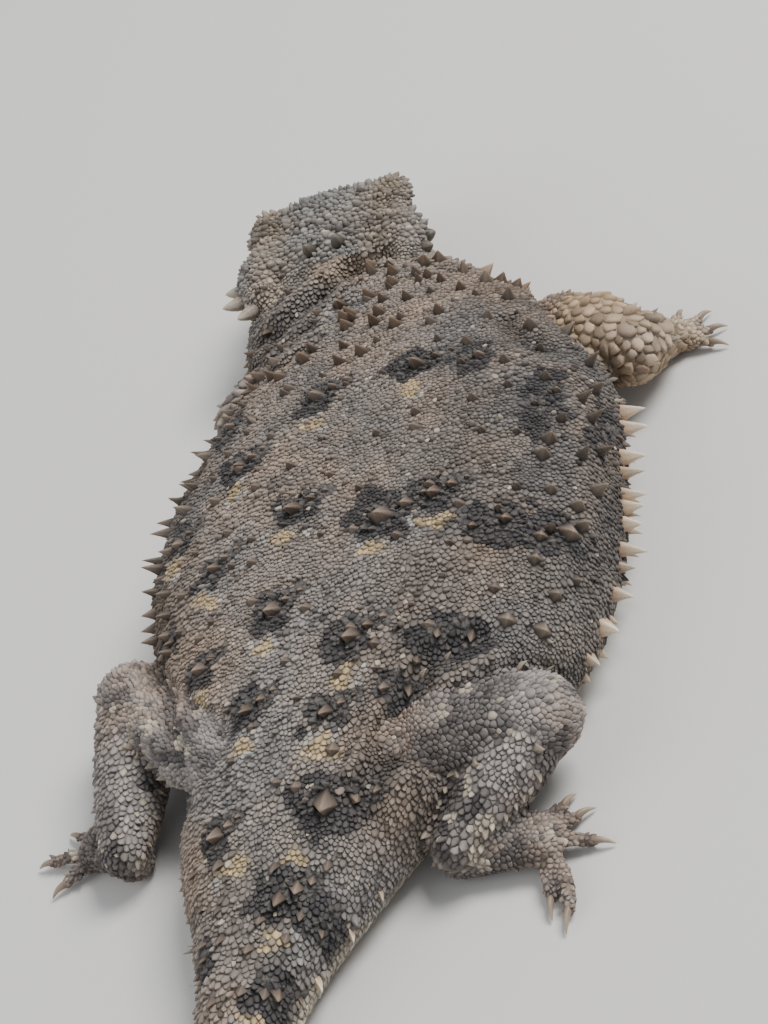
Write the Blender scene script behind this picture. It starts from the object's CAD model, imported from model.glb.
"""Dresses the horned lizard: one skin, its scales and spines, eyes, horns and claws, floor, light and camera.

Sizes and places are in millimetres, in the frame that the body is drawn in: the head points along -Y and
turns to the animal's left, which is +X, and the belly lies on z = 0. Meshes are made in metres.
"""

import itertools
import math

import bmesh
import bpy
import numpy as np
from mathutils import Euler, Matrix, Quaternion, Vector
from mathutils.bvhtree import BVHTree
from mathutils.kdtree import KDTree


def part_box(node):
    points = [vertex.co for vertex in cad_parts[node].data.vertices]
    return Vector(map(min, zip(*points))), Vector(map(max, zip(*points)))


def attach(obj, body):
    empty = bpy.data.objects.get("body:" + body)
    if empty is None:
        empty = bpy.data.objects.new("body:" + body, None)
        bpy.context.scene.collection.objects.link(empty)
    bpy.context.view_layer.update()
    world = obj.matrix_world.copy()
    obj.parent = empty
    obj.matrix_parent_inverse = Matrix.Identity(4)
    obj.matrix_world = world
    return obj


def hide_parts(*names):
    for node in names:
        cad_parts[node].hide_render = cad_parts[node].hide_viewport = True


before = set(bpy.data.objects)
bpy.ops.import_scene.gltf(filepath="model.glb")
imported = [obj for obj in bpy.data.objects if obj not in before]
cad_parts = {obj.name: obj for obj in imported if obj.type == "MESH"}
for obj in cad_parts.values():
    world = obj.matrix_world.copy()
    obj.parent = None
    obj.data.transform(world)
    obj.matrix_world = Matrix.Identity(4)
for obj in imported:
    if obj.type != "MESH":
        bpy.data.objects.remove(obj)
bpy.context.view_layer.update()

MM = 0.001

# The body from the nape to the tip of the tail, by its place along Y
TRUNK_START = -40.0
TAIL_TIP = 71.0
VENT = 34.0
MIDLINE = [
    (-42, 14.6), (-37, 11.8), (-33, 9.8), (-29, 7.5), (-25, 5.2), (-20.5, 2.85), (-16, 1.1), (-10, -0.45),
    (0, -1.6), (11, -2.3), (22, -1.3), (34, 0.6), (45, 1.3), (55, 2.8), (64, 5.6), (72, 9.6),
]
HALF_WIDTH = [
    (-42, 8.5), (-37, 9.8), (-33, 11.1), (-30, 12.1), (-27, 13.6), (-23, 15.9), (-17, 19.1), (-9, 21.4),
    (0, 22.3), (8, 21.9), (14, 20.3), (20, 17.2), (26, 13.3), (31, 10.4), (36, 8.3), (40, 6.1),
    (44, 4.4), (49, 3.4), (55, 2.9), (62, 2.2), (68, 1.5), (71, 0.7),
]
BACK_HEIGHT = [
    (-42, 10.5), (-36, 10.8), (-30, 11.3), (-22, 13.0), (-10, 14.7), (2, 15.2), (14, 14.6), (24, 13.2),
    (31, 11.2), (38, 9.0), (46, 6.8), (54, 5.0), (62, 3.6), (68, 2.5), (71, 1.5),
]
EDGE_HEIGHT = [
    (-42, 5.5), (-30, 5.4), (-15, 5.0), (5, 4.8), (20, 4.6), (34, 3.8), (46, 2.6), (60, 1.5), (71, 0.8),
]
BELLY_LEVEL = [
    (-42, 2.6), (-36, 2.0), (-31, 0.9), (-27, 0.0), (-22, -0.7), (0, -1.0), (20, -0.9), (30, -0.5),
    (38, -0.4), (60, -0.35), (71, -0.2),
]
MIDLINE_NUDGE = 0.5
SEARCH_STEPS = 8
SEARCH_PACE = 0.8
FLOOR_GAP = 0.02
BACK_ROUNDNESS = 0.86
EDGE_ROUNDNESS = 0.80
TRUNK_SIDES = 96
RING_STEP = 0.8

# The head in its own frame: left, forward, up from the notch at the back of the crown
HEAD_AT = (10.8, -37.0, 12.2)
HEAD_YAW = 12.0
HEAD_PITCH = 7.0
HEAD_ROLL = -2.4
HEAD_PROFILE = [
    # forward, half width, crown, widest level, underside
    (-2.5, 6.6, -1.6, -5.4, -9.4),
    (0.5, 8.2, -0.4, -5.2, -9.8),
    (4.0, 8.6, 0.1, -4.8, -9.8),
    (7.5, 8.0, 0.6, -4.4, -9.6),
    (10.5, 7.3, 0.3, -4.6, -9.3),
    (13.0, 5.6, -1.6, -5.2, -9.0),
    (15.2, 4.2, -3.4, -5.8, -8.7),
    (16.6, 2.6, -4.6, -6.2, -8.2),
    (17.2, 1.2, -5.6, -6.4, -7.4),
]
HEAD_SIDES = 64
HEAD_STATIONS = 34
CROWN_ROUNDNESS = 0.62
JAW_ROUNDNESS = 0.78
BROW_LINE = [(3.7, 13.2, -2.7), (6.6, 9.4, -1.0), (7.2, 3.0, -2.0)]
BROW_HALVES = [(0.7, 0.6), (2.1, 1.4), (1.7, 1.3)]
LOBE_LINE = [(5.4, 4.8, -2.1), (7.4, 1.0, -2.5), (7.5, -2.0, -3.0)]
LOBE_HALVES = [(2.6, 1.9), (3.1, 2.3), (2.4, 1.9)]
CHEEK_LINE = [(6.6, 6.0, -6.6), (6.9, 2.2, -6.3), (5.8, -1.4, -6.4)]
CHEEK_HALVES = [(2.0, 1.9), (2.7, 2.9), (2.0, 2.4)]
EYE_AT = (5.3, 8.4, -3.4)
EYE_RADIUS = 2.3
LID_OPENING = (1.75, 1.2)
LID_SLANT = 0.1
LID_THICKNESS = 0.34
LID_RIM = (0.26, 1.3, 0.3)
LID_FURROW = (0.3, 1.6, 2.1)
LID_EDGE = (0.96, 1.08)
LID_FADE = (1.9, 2.6)
LID_REACH = (3.0, 2.6)
SOCKET_DEPTH = 0.5
OUT_OF_SIGHT = 9.0
# Eyes: the ball's share of the socket, its bulge, then pupil, bright ring and dark rim by distance
# from the middle
BALL_SHARE = 0.985
BALL_SEGMENTS = (64, 40)
CORNEA = (0.035, 0.45)
PUPIL = (0.30, (0.004, 0.003, 0.003))
IRIS_TINT = (0.060, 0.032, 0.014)
BRIGHT_RING = (0.33, 0.035, (0.22, 0.14, 0.05))
DARK_RIM = (0.62, (0.03, 0.02, 0.015))
# Ears, hollows under the brows, nostrils and mouth
EAR_AT = (9.6, 0.9, -6.0)
EAR_SIZE = (2.2, 0.95, 1.6)
EAR_BARE = 0.72
EAR_DEPTH = 1.5
BROW_HOLLOW = (8.6, 10.4, -1.5)
BROW_HOLLOW_SIZE = (2.0, 1.5, 1.1)
BROW_HOLLOW_DEPTH = 0.8
NOSTRIL_AT = (2.1, 15.9, -4.4)
NOSTRIL_SIZE = (0.55, 0.62, 0.55)
NOSTRIL_DEPTH = 0.8
PIT_RIM = (0.16, 1.45, 0.4)
PIT_STEEPNESS = 1.5
MOUTH = [(4.2, -7.3), (6.0, -6.8), (8.5, -6.6), (13.5, -7.0), (19.0, -6.9)]
# The line of the mouth: where it starts, the middle it bends round, lips as height, offset and width
MOUTH_CORNER = (4.0, 6.0)
MOUTH_MIDDLE = 6.0
MOUTH_CLEAR = 4.0
MOUTH_SQUASH = 0.6
LIPS = (0.34, 0.75, 0.45)
MOUTH_GROOVE = (0.5, 0.24)
HEAD_LIMITS = (-3.0, -12.0, 12.0)
# Horns: place, length, and how far each turns outward and rises
TEMPORAL_HORNS = [
    ((9.7, 1.2, -3.2), 2.0, 80.0, 4.0),
    ((9.5, -1.2, -3.1), 2.3, 64.0, 4.0),
    ((8.3, -3.3, -3.2), 2.1, 44.0, 2.0),
]
OCCIPITAL_HORN = ((1.5, 0.1, -0.5), 1.4, 10.0, 52.0)
WORN_SHARE = {1: 1.12, -1: 0.7}
HORN_RADIUS = 0.95
HORN_ROOT = 1.6
# Along a horn: taper, growth rings and flutes as depth and pace, bend, and how its colour varies
HORN_SIDES = 28
HORN_STATIONS = 18
HORN_END = 0.97
HORN_TAPER = (0.7, 0.22)
HORN_GROWTH = (0.015, 30.0)
HORN_FLUTES = (0.03, 7, 2.0, 3)
HORN_BEND = 0.12
HORN_WAVE = (0.18, 0.5, 51)
HORN_BLUNTNESS = 2.4
HORN_ROOT_TINT = (0.17, 0.13, 0.10)
HORN_TIP_TINT = (0.50, 0.43, 0.33)
OCCIPITAL_SHADE = 0.25
OCCIPITAL_SLENDER = 0.72
HORN_SHADE = {1: 0.90, -1: 0.22}
TEMPORAL_SLENDER = 0.86

# Legs: hip, knee and ankle, or shoulder, elbow and wrist, then the half sizes at three stations
LEGS = {
    "fore_right": [(-13.6, -24.6, 5.8), (-21.6, -20.8, 5.2), (-23.1, -24.8, 2.6)],
    "fore_left": [(12.4, -24.0, 5.6), (18.4, -20.5, 4.4), (17.8, -27.0, 2.6)],
    "hind_right": [(-6.5, 24.5, 7.0), (-19.4, 21.8, 6.2), (-13.0, 31.2, 3.4)],
    "hind_left": [(5.5, 24.0, 7.0), (19.0, 15.6, 5.8), (17.2, 29.4, 3.4)],
}
LIMB_HALVES = {
    "fore": ([(3.7, 3.5), (4.5, 4.3), (3.7, 3.6)], [(3.4, 3.3), (3.1, 3.0), (2.1, 1.9)]),
    "hind": ([(5.2, 5.0), (4.6, 4.6), (3.9, 4.0)], [(3.7, 3.6), (3.5, 3.4), (2.5, 2.3)]),
}
FORE_TOES = [(1.8, -46, -12), (2.4, -23, -8), (2.8, 0, 0), (2.4, 24, 8), (1.8, 50, 14)]
FEET = {
    "fore_right": (-36.0, 1.9, FORE_TOES),
    "fore_left": (12.0, 3.0, FORE_TOES),
    "hind_right": (-80.0, 7.0, [(1.8, -42, -12), (2.4, -22, -8), (3.4, 2, 10), (5.6, 42, 62), (2.8, 74, 20)]),
    "hind_left": (62.0, 4.8, [(1.8, -42, -12), (2.6, -22, -8), (3.4, 0, 6), (4.6, 22, 14), (2.6, 52, 18)]),
}
PALM_HALF = {"fore": (2.1, 1.5), "hind": (2.4, 1.8)}
PALM_TAPER = 0.8
TOE_RADIUS = 0.66
CLAW_LENGTH = 1.7
CLAW_TIP_HEIGHT = 0.3
# Along a claw: root, bend, radius as widest, bluntness and least, and its colours
CLAW_SIDES = 10
CLAW_STATIONS = 9
CLAW_END = 0.96
CLAW_ROOT = 0.3
CLAW_BEND = 0.30
CLAW_RADIUS = (0.42, 0.8, 0.03)
CLAW_NARROW = 0.8
CLAW_ROOT_TINT = (0.16, 0.11, 0.075)
CLAW_TIP_TINT = (0.42, 0.33, 0.23)
TOE_STEPS = 5
TOE_ARCH = 0.5
TOE_ROOT = 0.5
TOE_SPREAD = 0.34

# Sides and stations of the tubes that the skin grows from, and how their ends close
LIMB_TUBE = (32, 12)
RIDGE_TUBE = (24, 12)
PALM_TUBE = (24, 6)
TOE_TUBE = (16, 9)
TOE_TAPER = (1.0, 0.98, 0.95, 0.92, 0.85)
ROUND_END = (84.0, 66.0, 44.0, 22.0)

# The skin lies inside the body's outline by the depth of its scales
SCALE_DEPTH = 0.22
VOXEL = 0.36
SMOOTHING = 5
SMOOTH_SHARE = 0.5
# Waves of the skin: height, size and seed
SKIN_WAVES = [(0.22, 5.0, 1), (0.12, 2.2, 2)]
WAVE_LEVELS = (1.0, 4.0)
CROWN_EDGE = (-2.0, 1.0)
NOISE_CELLS = 32
SEED = 11

# Folds of the neck and shoulder as lines on the back, each with its depth and its half width
FOLDS = [
    ([(17.6, -25.5), (13.5, -27.0), (10.6, -30.2), (7.4, -34.4), (2.5, -36.0)], 2.0, 0.7),
    ([(18.2, -23.6), (14.0, -25.2), (10.8, -28.2), (8.0, -31.6), (4.0, -34.0)], 1.3, 0.5),
    ([(18.4, -21.2), (14.2, -22.6), (10.8, -25.4), (8.0, -28.6), (5.2, -31.0)], 1.7, 0.65),
    ([(17.8, -18.6), (14.0, -20.0), (10.6, -22.6), (8.0, -25.6)], 0.8, 0.5),
    ([(17.5, -16.0), (13.2, -17.5), (9.6, -19.8), (6.8, -22.8)], 0.9, 0.6),
    ([(-8.0, -31.5), (-4.0, -31.0), (0.0, -33.4)], 0.8, 0.7),
    ([(-17.5, -15.5), (-13.5, -17.5), (-11.5, -21.5)], 0.6, 0.8),
    ([(-7.0, 33.0), (-9.5, 27.5), (-12.5, 20.5), (-17.5, 16.5)], 0.9, 0.7),
    ([(8.6, 31.0), (9.8, 26.0), (13.0, 19.5), (17.5, 12.5)], 0.9, 0.7),
    ([(19.5, -12.5), (19.8, -4.0), (19.6, 6.0), (17.6, 13.0)], 0.7, 0.8),
    ([(16.6, -10.5), (17.2, -2.0), (17.0, 7.0), (15.4, 14.0)], 0.4, 0.7),
    ([(-19.5, -14.0), (-23.0, -6.0), (-23.6, 4.0), (-22.0, 13.0)], 0.5, 0.8),
]
FOLD_LEVELS = (2.0, 5.0)
FOLD_ENDS = (0.15, 0.12)
FOLD_WAVER = 0.5
FOLD_WAVES = [(3.0, 5), (3.0, 6)]
FOLD_WIDEN = 1.6
FOLD_RIDGE_SHARE = 0.40
FOLD_RIDGE_OFFSET = 1.7
FOLD_SHADE = 0.62
FOLD_BARE = 0.30
NAPE_END = -18.0
RIDGE_WARMTH = 0.35
CREASE_DEPTH = 0.5
CREASE_WIDTH = 0.55

# Dark blotches of the back: place, half width and half length, then where the yellow edge behind each lies
BLOTCHES = [
    ((4.3, -11.0), (2.2, 2.4), (3.6, -7.2)),
    ((2.4, 4.0), (2.2, 2.2), (2.3, 7.2)),
    ((2.1, 14.6), (1.9, 2.2), (1.8, 17.9)),
    ((2.6, 23.7), (1.8, 1.9), (2.4, 26.6)),
    ((4.2, 33.6), (1.6, 1.9), (2.6, 36.2)),
    ((-5.3, -13.0), (2.3, 2.5), (-5.6, -9.7)),
    ((-10.2, -13.4), (1.9, 2.6), None),
    ((-6.0, 6.0), (2.9, 2.9), (-6.2, 9.9)),
    ((-5.7, 18.2), (2.1, 2.3), (-5.6, 21.3)),
    ((-4.5, 24.6), (1.9, 1.7), (-4.4, 27.4)),
    ((-5.0, 31.7), (2.9, 2.4), (-2.6, 35.1)),
    ((-1.9, 38.5), (1.9, 2.0), (-1.8, 41.3)),
    ((-5.2, 39.5), (1.6, 2.2), None),
    ((-2.0, 45.0), (1.3, 1.7), (-1.6, 47.6)),
    ((4.4, 43.0), (1.2, 1.6), None),
    ((0.4, 52.5), (1.2, 1.6), None),
    ((2.6, 58.5), (1.0, 1.5), None),
    ((-10.3, 3.9), (2.2, 2.1), (-11.0, 6.8)),
    ((-15.5, 7.2), (3.6, 2.2), None),
    ((-20.4, 7.4), (2.6, 2.6), None),
    ((-10.0, 22.6), (2.0, 1.5), None),
    ((-17.6, -8.2), (1.7, 5.6), None),
    ((-21.8, -7.4), (1.1, 4.0), None),
    ((-14.0, 17.8), (3.2, 1.5), None),
    ((10.2, -3.6), (1.8, 2.0), (9.8, -0.8)),
    ((9.6, 8.4), (1.7, 2.0), (9.2, 11.2)),
    ((8.6, 18.6), (1.6, 1.6), (8.2, 20.9)),
    ((14.6, -10.8), (1.7, 2.4), None),
    ((15.4, 3.4), (1.6, 2.2), (14.8, 6.4)),
    ((13.6, 14.6), (1.7, 1.7), None),
]
YELLOW_SIZE = (1.15, 0.8)

# Colours of the skin in linear light
GREY = (0.190, 0.172, 0.158)
BROWN = (0.230, 0.174, 0.132)
DARK = (0.040, 0.036, 0.036)
YELLOW = (0.40, 0.30, 0.17)
PALE = (0.42, 0.36, 0.28)
PALE_GREY = (0.38, 0.37, 0.34)
BELLY = (0.46, 0.40, 0.31)
LEG = (0.250, 0.220, 0.200)
LEG_BROWN = (0.235, 0.178, 0.140)
ARM = (0.46, 0.325, 0.195)
ARM_DARK = (0.13, 0.085, 0.055)
CROWN = (0.200, 0.187, 0.172)
HEAD_BROWN = (0.265, 0.205, 0.148)
SKIN_SHADE = 0.75
DARKEST = 0.01

# Noise of the colours: size and seed
COARSE = (9.0, 21)
FINE = (2.6, 22)
SPECKLE = (1.1, 23)
# Second colour's share: base, by wide noise and by narrow noise, then how much lighter and darker
# noise makes it
BODY_MIX, BODY_DEPTH = (0.42, 0.75, 0.45), (0.22, 0.16)
LEG_MIX, LEG_DEPTH = (0.4, 0.9, 0.5), (0.22, 0.14)
ARM_EDGE = (0.0, 0.4)
ARM_MIX = (0.6, 0.5, 0.9)
# Darker sides of the body: side, where it starts and ends, shade
SIDE_SHADES = [(-1, 5.0, 12.0, 0.70), (1, 10.0, 16.0, 0.70)]
SIDE_WAVER = 1.5
# Patches: colour, where the noise starts and ends, its size and seed, strength
LEG_PATCHES = [
    (DARK, 0.12, 0.42, 3.0, 24, 0.6), (DARK, 0.35, 0.6, 1.3, 32, 0.6), (PALE, 0.50, 0.62, 1.7, 33, 0.8),
]
CROWN_PATCHES = [(DARK, 0.2, 0.7, 1.6, 26, 0.45)]
# Brown of the temples: share, distance from the middle, width, then the noise's share, size and
# seed, and the most
TEMPLES = (0.75, 6.8, 2.6)
TEMPLE_WAVE = (0.3, 3.0, 25)
TEMPLE_MOST = 0.9
JAW_PALE = (0.45, -8.2, -6.0)
HOLLOW_SHADES = [(EAR_AT, EAR_SIZE, 0.8, 0.5, 1.0), (BROW_HOLLOW, BROW_HOLLOW_SIZE, 0.85, 0.5, 1.1)]
# Blotches: how their outlines waver, above which levels they lie, strength, edge and speckle of each ring
BLOTCH_WAVES = [(1.0, [(2.2, 27), (2.2, 28)]), (0.5, [(0.9, 29), (0.9, 30)])]
BLOTCH_LEVELS = (4.5, 7.0)
TAIL_LIFT = 3.5
BLOTCH_DARK = (0.93, -1.12, -0.92, 0.25)
BLOTCH_YELLOW = (0.9, -1.2, -0.8, 0.2)
BLOTCH_PALE = (0.75, 1.35, 0.25)
PALE_SPECKLE = (0.1, 0.3)
BELLY_EDGE = (1.2, 4.2)
BELLY_WAVER = 0.8
BELLY_DAPPLE = (0.35, 0.2, 0.6, 2.4, 31)
BELLY_SHARE = 0.85

# Regions of the skin, and how far the scales of the body turn outward
HEAD_PART, TRUNK_PART, TAIL_PART, LIMB_PART, FOOT_PART = range(5)
SIDEWAYS_LIE = 0.25
NEAR_LEG = 0.8
NAPE = -30.0
HEAD_BEHIND = -1.6
LOBE_REACH = 0.3
BEYOND_END = 0.5

# Distance between scales: noise as size and seed, then base and growth or spread for each region
UNDERSIDE = (-0.75, -0.3)
UNDER_SPACING = (0.8, 0.8, 0.7)
SPACING_WAVES = [(6.0, 41), (1.6, 43)]
CROWN_WAVE = (1.5, 42)
TRUNK_SPACING = (0.37, 0.06)
TAIL_SPACING = (0.36, 0.006)
HIND_SPACING = (0.36, 0.06, 0.05)
FORE_SPACING = (0.42, 0.56, 0.1, 0.5)
FOOT_SPACING = 0.38
CROWN_SPACING = (0.54, 0.18)
SNOUT_FINER = (0.2, 11.0, 15.0)
OCCIPUT_FINER = (0.16, -1.5, 0.5)
LID_SPACING = (0.34, 0.10)
LID_SCALES = (3.2, 1.6)
LID_BARE = (1.05, 1.5)
# Scattering: tries for each scale, spread and limits of size, least height, how close two may stand
TRIES = 7.0
SIZE_SPREAD = 0.16
SIZE_LIMITS = (0.72, 1.5)
LOWEST_ROOT = 0.08
CLOSENESS = 0.86
NEIGHBOURS = 10
REACH_LIMIT = 0.90
SPINE_CLEAR = 0.95

# Scales: how deep their roots sit, the radius of their patches on the unwrap, and the size of one mesh
GROOVE_SHARE = 0.80
EDGE_SHADE = 0.88
ROOT_DEPTH = 0.01
ROOT_DEPTH_SHARE = 0.15
PATCH_RADIUS = 0.0015
PIECE_TRIANGLES = 190000
PATCH_RINGS = (0.7, 0.4)
UNWRAP_VOXEL = 1.3
UNWRAP_ANGLE = 66.0
UNWRAP_MARGIN = 0.004
KEEL_WIDTH = 0.42
KEEL_SHARE = 0.45
SHOULDER_REACH = (0.81, 0.10)
PEAK_BACK = 0.38
BROW_SHARE = 0.48
BROW_RISE = 0.10
# How heights, tilts and tints differ from scale to scale
HEIGHT_SPREAD = 0.30
HEAD_HEIGHT_SPREAD = 0.45
HEIGHT_LIMITS = (0.4, 2.0)
TILT_SPREAD = 0.16
TINT_SPREAD = 0.14
TINT_LIMITS = (0.6, 1.6)
SIZE_HEIGHTS = (0.6, 1.8)
FLAT_UNDER = (0.35, -0.6, -0.1)
ARM_DARKER = 0.75
DIM_SHARE = 0.10
DIM_SHADES = (0.45, 0.8)
BRIGHT_SHARE = 0.01
BRIGHT_SHADES = (0.6, 1.0)
RAISED_SHARE = 0.05
RAISED_ABOVE = 0.5
RAISED_LOOK = (1.8, 2.2, 1.6, 1.0, 1.15, 1.1, 1.2)
FACE_LEVELS = (-4.0, -2.0)
FACE_SMOOTHER = np.array([0.35, 0.6, 0.8])
# For each region: height, keel, tilt, heights of shoulder and peak, shade of the tip, overlap, sides
SCALE_LOOKS = {
    "scales_head": (0.26, 0.66, 0.50, 0.52, 1.05, 1.22, 0.16, 8),
    "scales_trunk": (0.14, 0.35, 0.55, 0.60, 0.95, 1.20, 0.28, 8),
    "scales_tail": (0.16, 0.50, 0.50, 0.55, 1.05, 1.20, 0.30, 8),
    "scales_legs": (0.155, 0.50, 0.50, 0.55, 1.05, 1.22, 0.32, 8),
    "scales_feet": (0.14, 0.35, 0.30, 0.55, 1.10, 1.25, 0.22, 7),
}

# Spines: rings as share of the length and of the radius, the hollows between their ridges, how they bend
SPINE_SIDES = 12
SPINE_STATIONS = [(-0.25, 1.1), (0.0, 1.0), (0.28, 0.70), (0.52, 0.46), (0.78, 0.22)]
SPINE_BREADTH = 1.1
SPINE_BEND = 0.10
TIP_LIGHTER = 1.1
PATCH_SHARE = 1.05
RIDGE_HOLLOW = 0.72
RIDGE_SHADE = 1.16
# Spines in rows: share of the half width, from and to along Y, spacing, length by place, radius and lean
SPINE_ROWS = [
    ("fringe", 1.0, (-17.8, 15.0, 2.1), [(-22, 1.8), (-15, 2.1), (0, 2.3), (8, 2.0), (15, 1.2)], 0.84, 0.16),
    ("fringe_low", 0.985, (-18.0, 15.0, 1.9), [(-22, 0.8), (0, 1.2), (16, 0.8)], 0.56, 0.2),
    ("fringe", 1.0, (17.0, 67.0, 4.3), [(17, 1.1), (46, 1.1), (67, 0.6)], 0.46, 0.5),
    ("neck_side", 1.0, (-36.5, -21.0, 1.9), [(-36, 1.4), (-21, 1.6)], 0.72, 0.3),
    ("back", 0.12, (-24.0, 32.0, 6.5), [(-30, 1.0), (0, 0.8), (31, 0.6)], 0.54, 0.35),
    ("back", 0.30, (-26.0, 30.0, 6.0), [(-30, 1.1), (0, 0.9), (31, 0.6)], 0.56, 0.35),
    ("back", 0.47, (-28.0, 28.0, 5.4), [(-30, 1.2), (0, 0.9), (31, 0.6)], 0.58, 0.35),
    ("back", 0.64, (-25.0, 25.0, 4.8), [(-30, 1.2), (0, 1.0), (31, 0.7)], 0.60, 0.35),
    ("flank", 0.80, (-21.0, 21.0, 3.2), [(-30, 1.3), (0, 1.5), (31, 0.9)], 0.70, 0.3),
    ("flank", 0.92, (-19.0, 18.0, 2.4), [(-20, 1.5), (0, 1.8), (18, 1.2)], 0.70, 0.2),
    ("nape", 0.05, (-35.0, -15.0, 2.5), [(-36, 1.0), (-16, 1.6)], 0.76, 0.3),
    ("nape", 0.24, (-34.0, -18.0, 2.4), [(-36, 1.1), (-18, 1.5)], 0.74, 0.3),
    ("nape", 0.44, (-33.0, -19.0, 2.3), [(-36, 1.1), (-18, 1.4)], 0.72, 0.3),
    ("nape", 0.66, (-32.0, -19.0, 2.2), [(-36, 1.1), (-18, 1.4)], 0.70, 0.3),
    ("nape", 0.86, (-31.0, -19.0, 2.0), [(-36, 1.2), (-18, 1.4)], 0.66, 0.3),
    ("back", 0.30, (36.0, 66.0, 3.2), [(34, 0.9), (64, 0.5)], 0.50, 0.85),
    ("back", 0.68, (36.0, 66.0, 2.9), [(34, 0.9), (64, 0.5)], 0.46, 0.8),
]
# For each kind: how far it strays along its row, how far across, then the colours of its root and its tip
SPINE_KINDS = {
    "fringe": (0.20, 0.0, (0.38, 0.25, 0.155), (0.74, 0.64, 0.50)),
    "fringe_low": (0.3, 0.01, (0.36, 0.26, 0.17), (0.58, 0.48, 0.36)),
    "neck_side": (0.3, 0.02, (0.13, 0.09, 0.065), (0.34, 0.24, 0.15)),
    "back": (0.42, 0.09, (0.075, 0.058, 0.047), (0.18, 0.132, 0.098)),
    "flank": (0.35, 0.03, (0.055, 0.043, 0.036), (0.22, 0.17, 0.125)),
    "nape": (0.42, 0.09, (0.050, 0.036, 0.027), (0.17, 0.112, 0.072)),
}
BACKWARD = np.array([0.0, 1.0, 0.0])
UP = np.array([0.0, 0.0, 1.0])
SKY = 40.0
SPINE_BURIED = 0.5
BLOTCH_SPINE = (1.65, 1.02, (0.042, 0.033, 0.028), (0.25, 0.18, 0.13))
BLOTCH_PLACES = ((-0.10, 1.0), (-0.75, 0.66), (-1.30, 0.46))
LONG_BLOTCH_PLACES = ((-0.4, 0.8), (0.3, 0.7))
BLOTCH_LEAN = 0.55
ROSETTE = (16, (0.8, 1.9), (0.3, 0.75), (0.26, 0.50), (0.030, 0.027, 0.026), (0.10, 0.088, 0.078))
EDGE_SPINE = (0.75, 0.42, (0.16, 0.125, 0.10), (0.34, 0.28, 0.21))
HEAD_SPINE_LINES = [
    ([(7.4, 4.2, -8.9), (7.0, 8.0, -8.6), (6.0, 11.0, -8.4)], 8),
    ([(8.9, 5.8, -1.0), (8.6, 9.4, -0.4), (5.4, 12.6, -1.8)], 7),
    ([(9.6, -1.6, -5.0), (9.9, 1.2, -4.6)], 3),
]
LONGER_SHORTER = (-0.22, 0.22)
WIDER_NARROWER = (-0.25, 0.2)
# Spines of blotches, of leg edges and of the head, and the room that legs and head need
BLOTCH_FULL = (2.6, 2.3)
BLOTCH_STRAY = 0.6
ROSETTE_TURN = 2.4
ROSETTE_LEAN = 0.6
EDGE_LEAN = 0.5
EDGE_TURNS = (8.0, 172.0)
EDGE_WANDER = 8.0
EDGE_STATIONS = 7
HEAD_SPINE_SHARE = (0.8, 0.85)
SPINE_OUTWARD = 0.5
LEAST_REACH = 0.02
BESIDE_LEG = 0.2
BEHIND_HEAD = -3.4

# Finish: roughness and its spread, relief's strength and depth, grain, its detail, its light and dark, shine
GRAIN_DETAIL = 5.0
GRAIN_SPREAD = (0.72, 1.28)
ROUGHNESS_SPREAD = 0.12
RELIEF_DEPTH = 0.00006
SKIN_FINISH = (0.72, 0.5, 5200.0, 0.35)
HORN_FINISH = (0.5, 0.4, 4200.0, 0.5)
EYE_GRAIN = (2600.0, 2.0, (0.6, 1.4))
EYE_FINISH = {"Roughness": 0.12, "Coat Weight": 0.35, "Coat Roughness": 0.03}

# Studio: floor, sky and lamps as name, place in metres, size and power
FLOOR_HALF = 15.0
PAPER = (0.62, 0.60, 0.57, 1)
PAPER_ROUGHNESS = 0.9
SKY_TINT = (0.86, 0.92, 1.0, 1)
SKY_STRENGTH = 0.55
LAMPS = [("key", (-0.35, -0.25, 0.55), 0.30, 6.6), ("fill", (0.5, 0.35, 0.45), 0.6, 2.0)]

FLESH = ["head", "lower_jaw", "neck", "torso", "tail"]
FLESH += [f"{part}_{leg}" for part in ("upper", "lower", "foot") for leg in LEGS]

CAMERA_AT = (-76.579, 115.868, 120.866)
CAMERA_TURN = (0.04659, -2.49152, 1.01337)
NEAR_CLIP = 0.005
FOCAL_PIXELS = 2036.95
PHOTO_HEIGHT = 1024
SENSOR = 36.0


def smooth(table, at):
    """Value at a place on the smooth curve through a table's (place, value) pairs."""
    place, value = np.array(table, float).T
    slope = np.gradient(value, place)
    at = np.clip(at, place[0], place[-1])
    i = np.clip(np.searchsorted(place, at, side="right") - 1, 0, len(place) - 2)
    step = place[i + 1] - place[i]
    t = (at - place[i]) / step
    start = value[i] * (1 + 2 * t) * (1 - t) ** 2 + slope[i] * step * t * (1 - t) ** 2
    end = value[i + 1] * t * t * (3 - 2 * t) + slope[i + 1] * step * t * t * (t - 1)
    return start + end


def rounded(angles, roundness_x, roundness_z):
    """Cosine and sine of an outline that is squarer than an ellipse."""
    across, up = np.cos(angles), np.sin(angles)
    return np.sign(across) * np.abs(across) ** roundness_x, np.sign(up) * np.abs(up) ** roundness_z


def step_between(low, high, value):
    """A soft step from 0 below low to 1 above high."""
    share = np.clip((value - low) / (high - low), 0, 1)
    return share * share * (3 - 2 * share)


def bump(value, middle, width):
    """A soft bump of height 1 at middle that falls off over width."""
    return np.exp(-((value - middle) / width) ** 2)


def unit(vectors):
    """Vectors scaled to length one."""
    return vectors / np.maximum(np.linalg.norm(vectors, axis=-1, keepdims=True), 1e-9)


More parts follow.
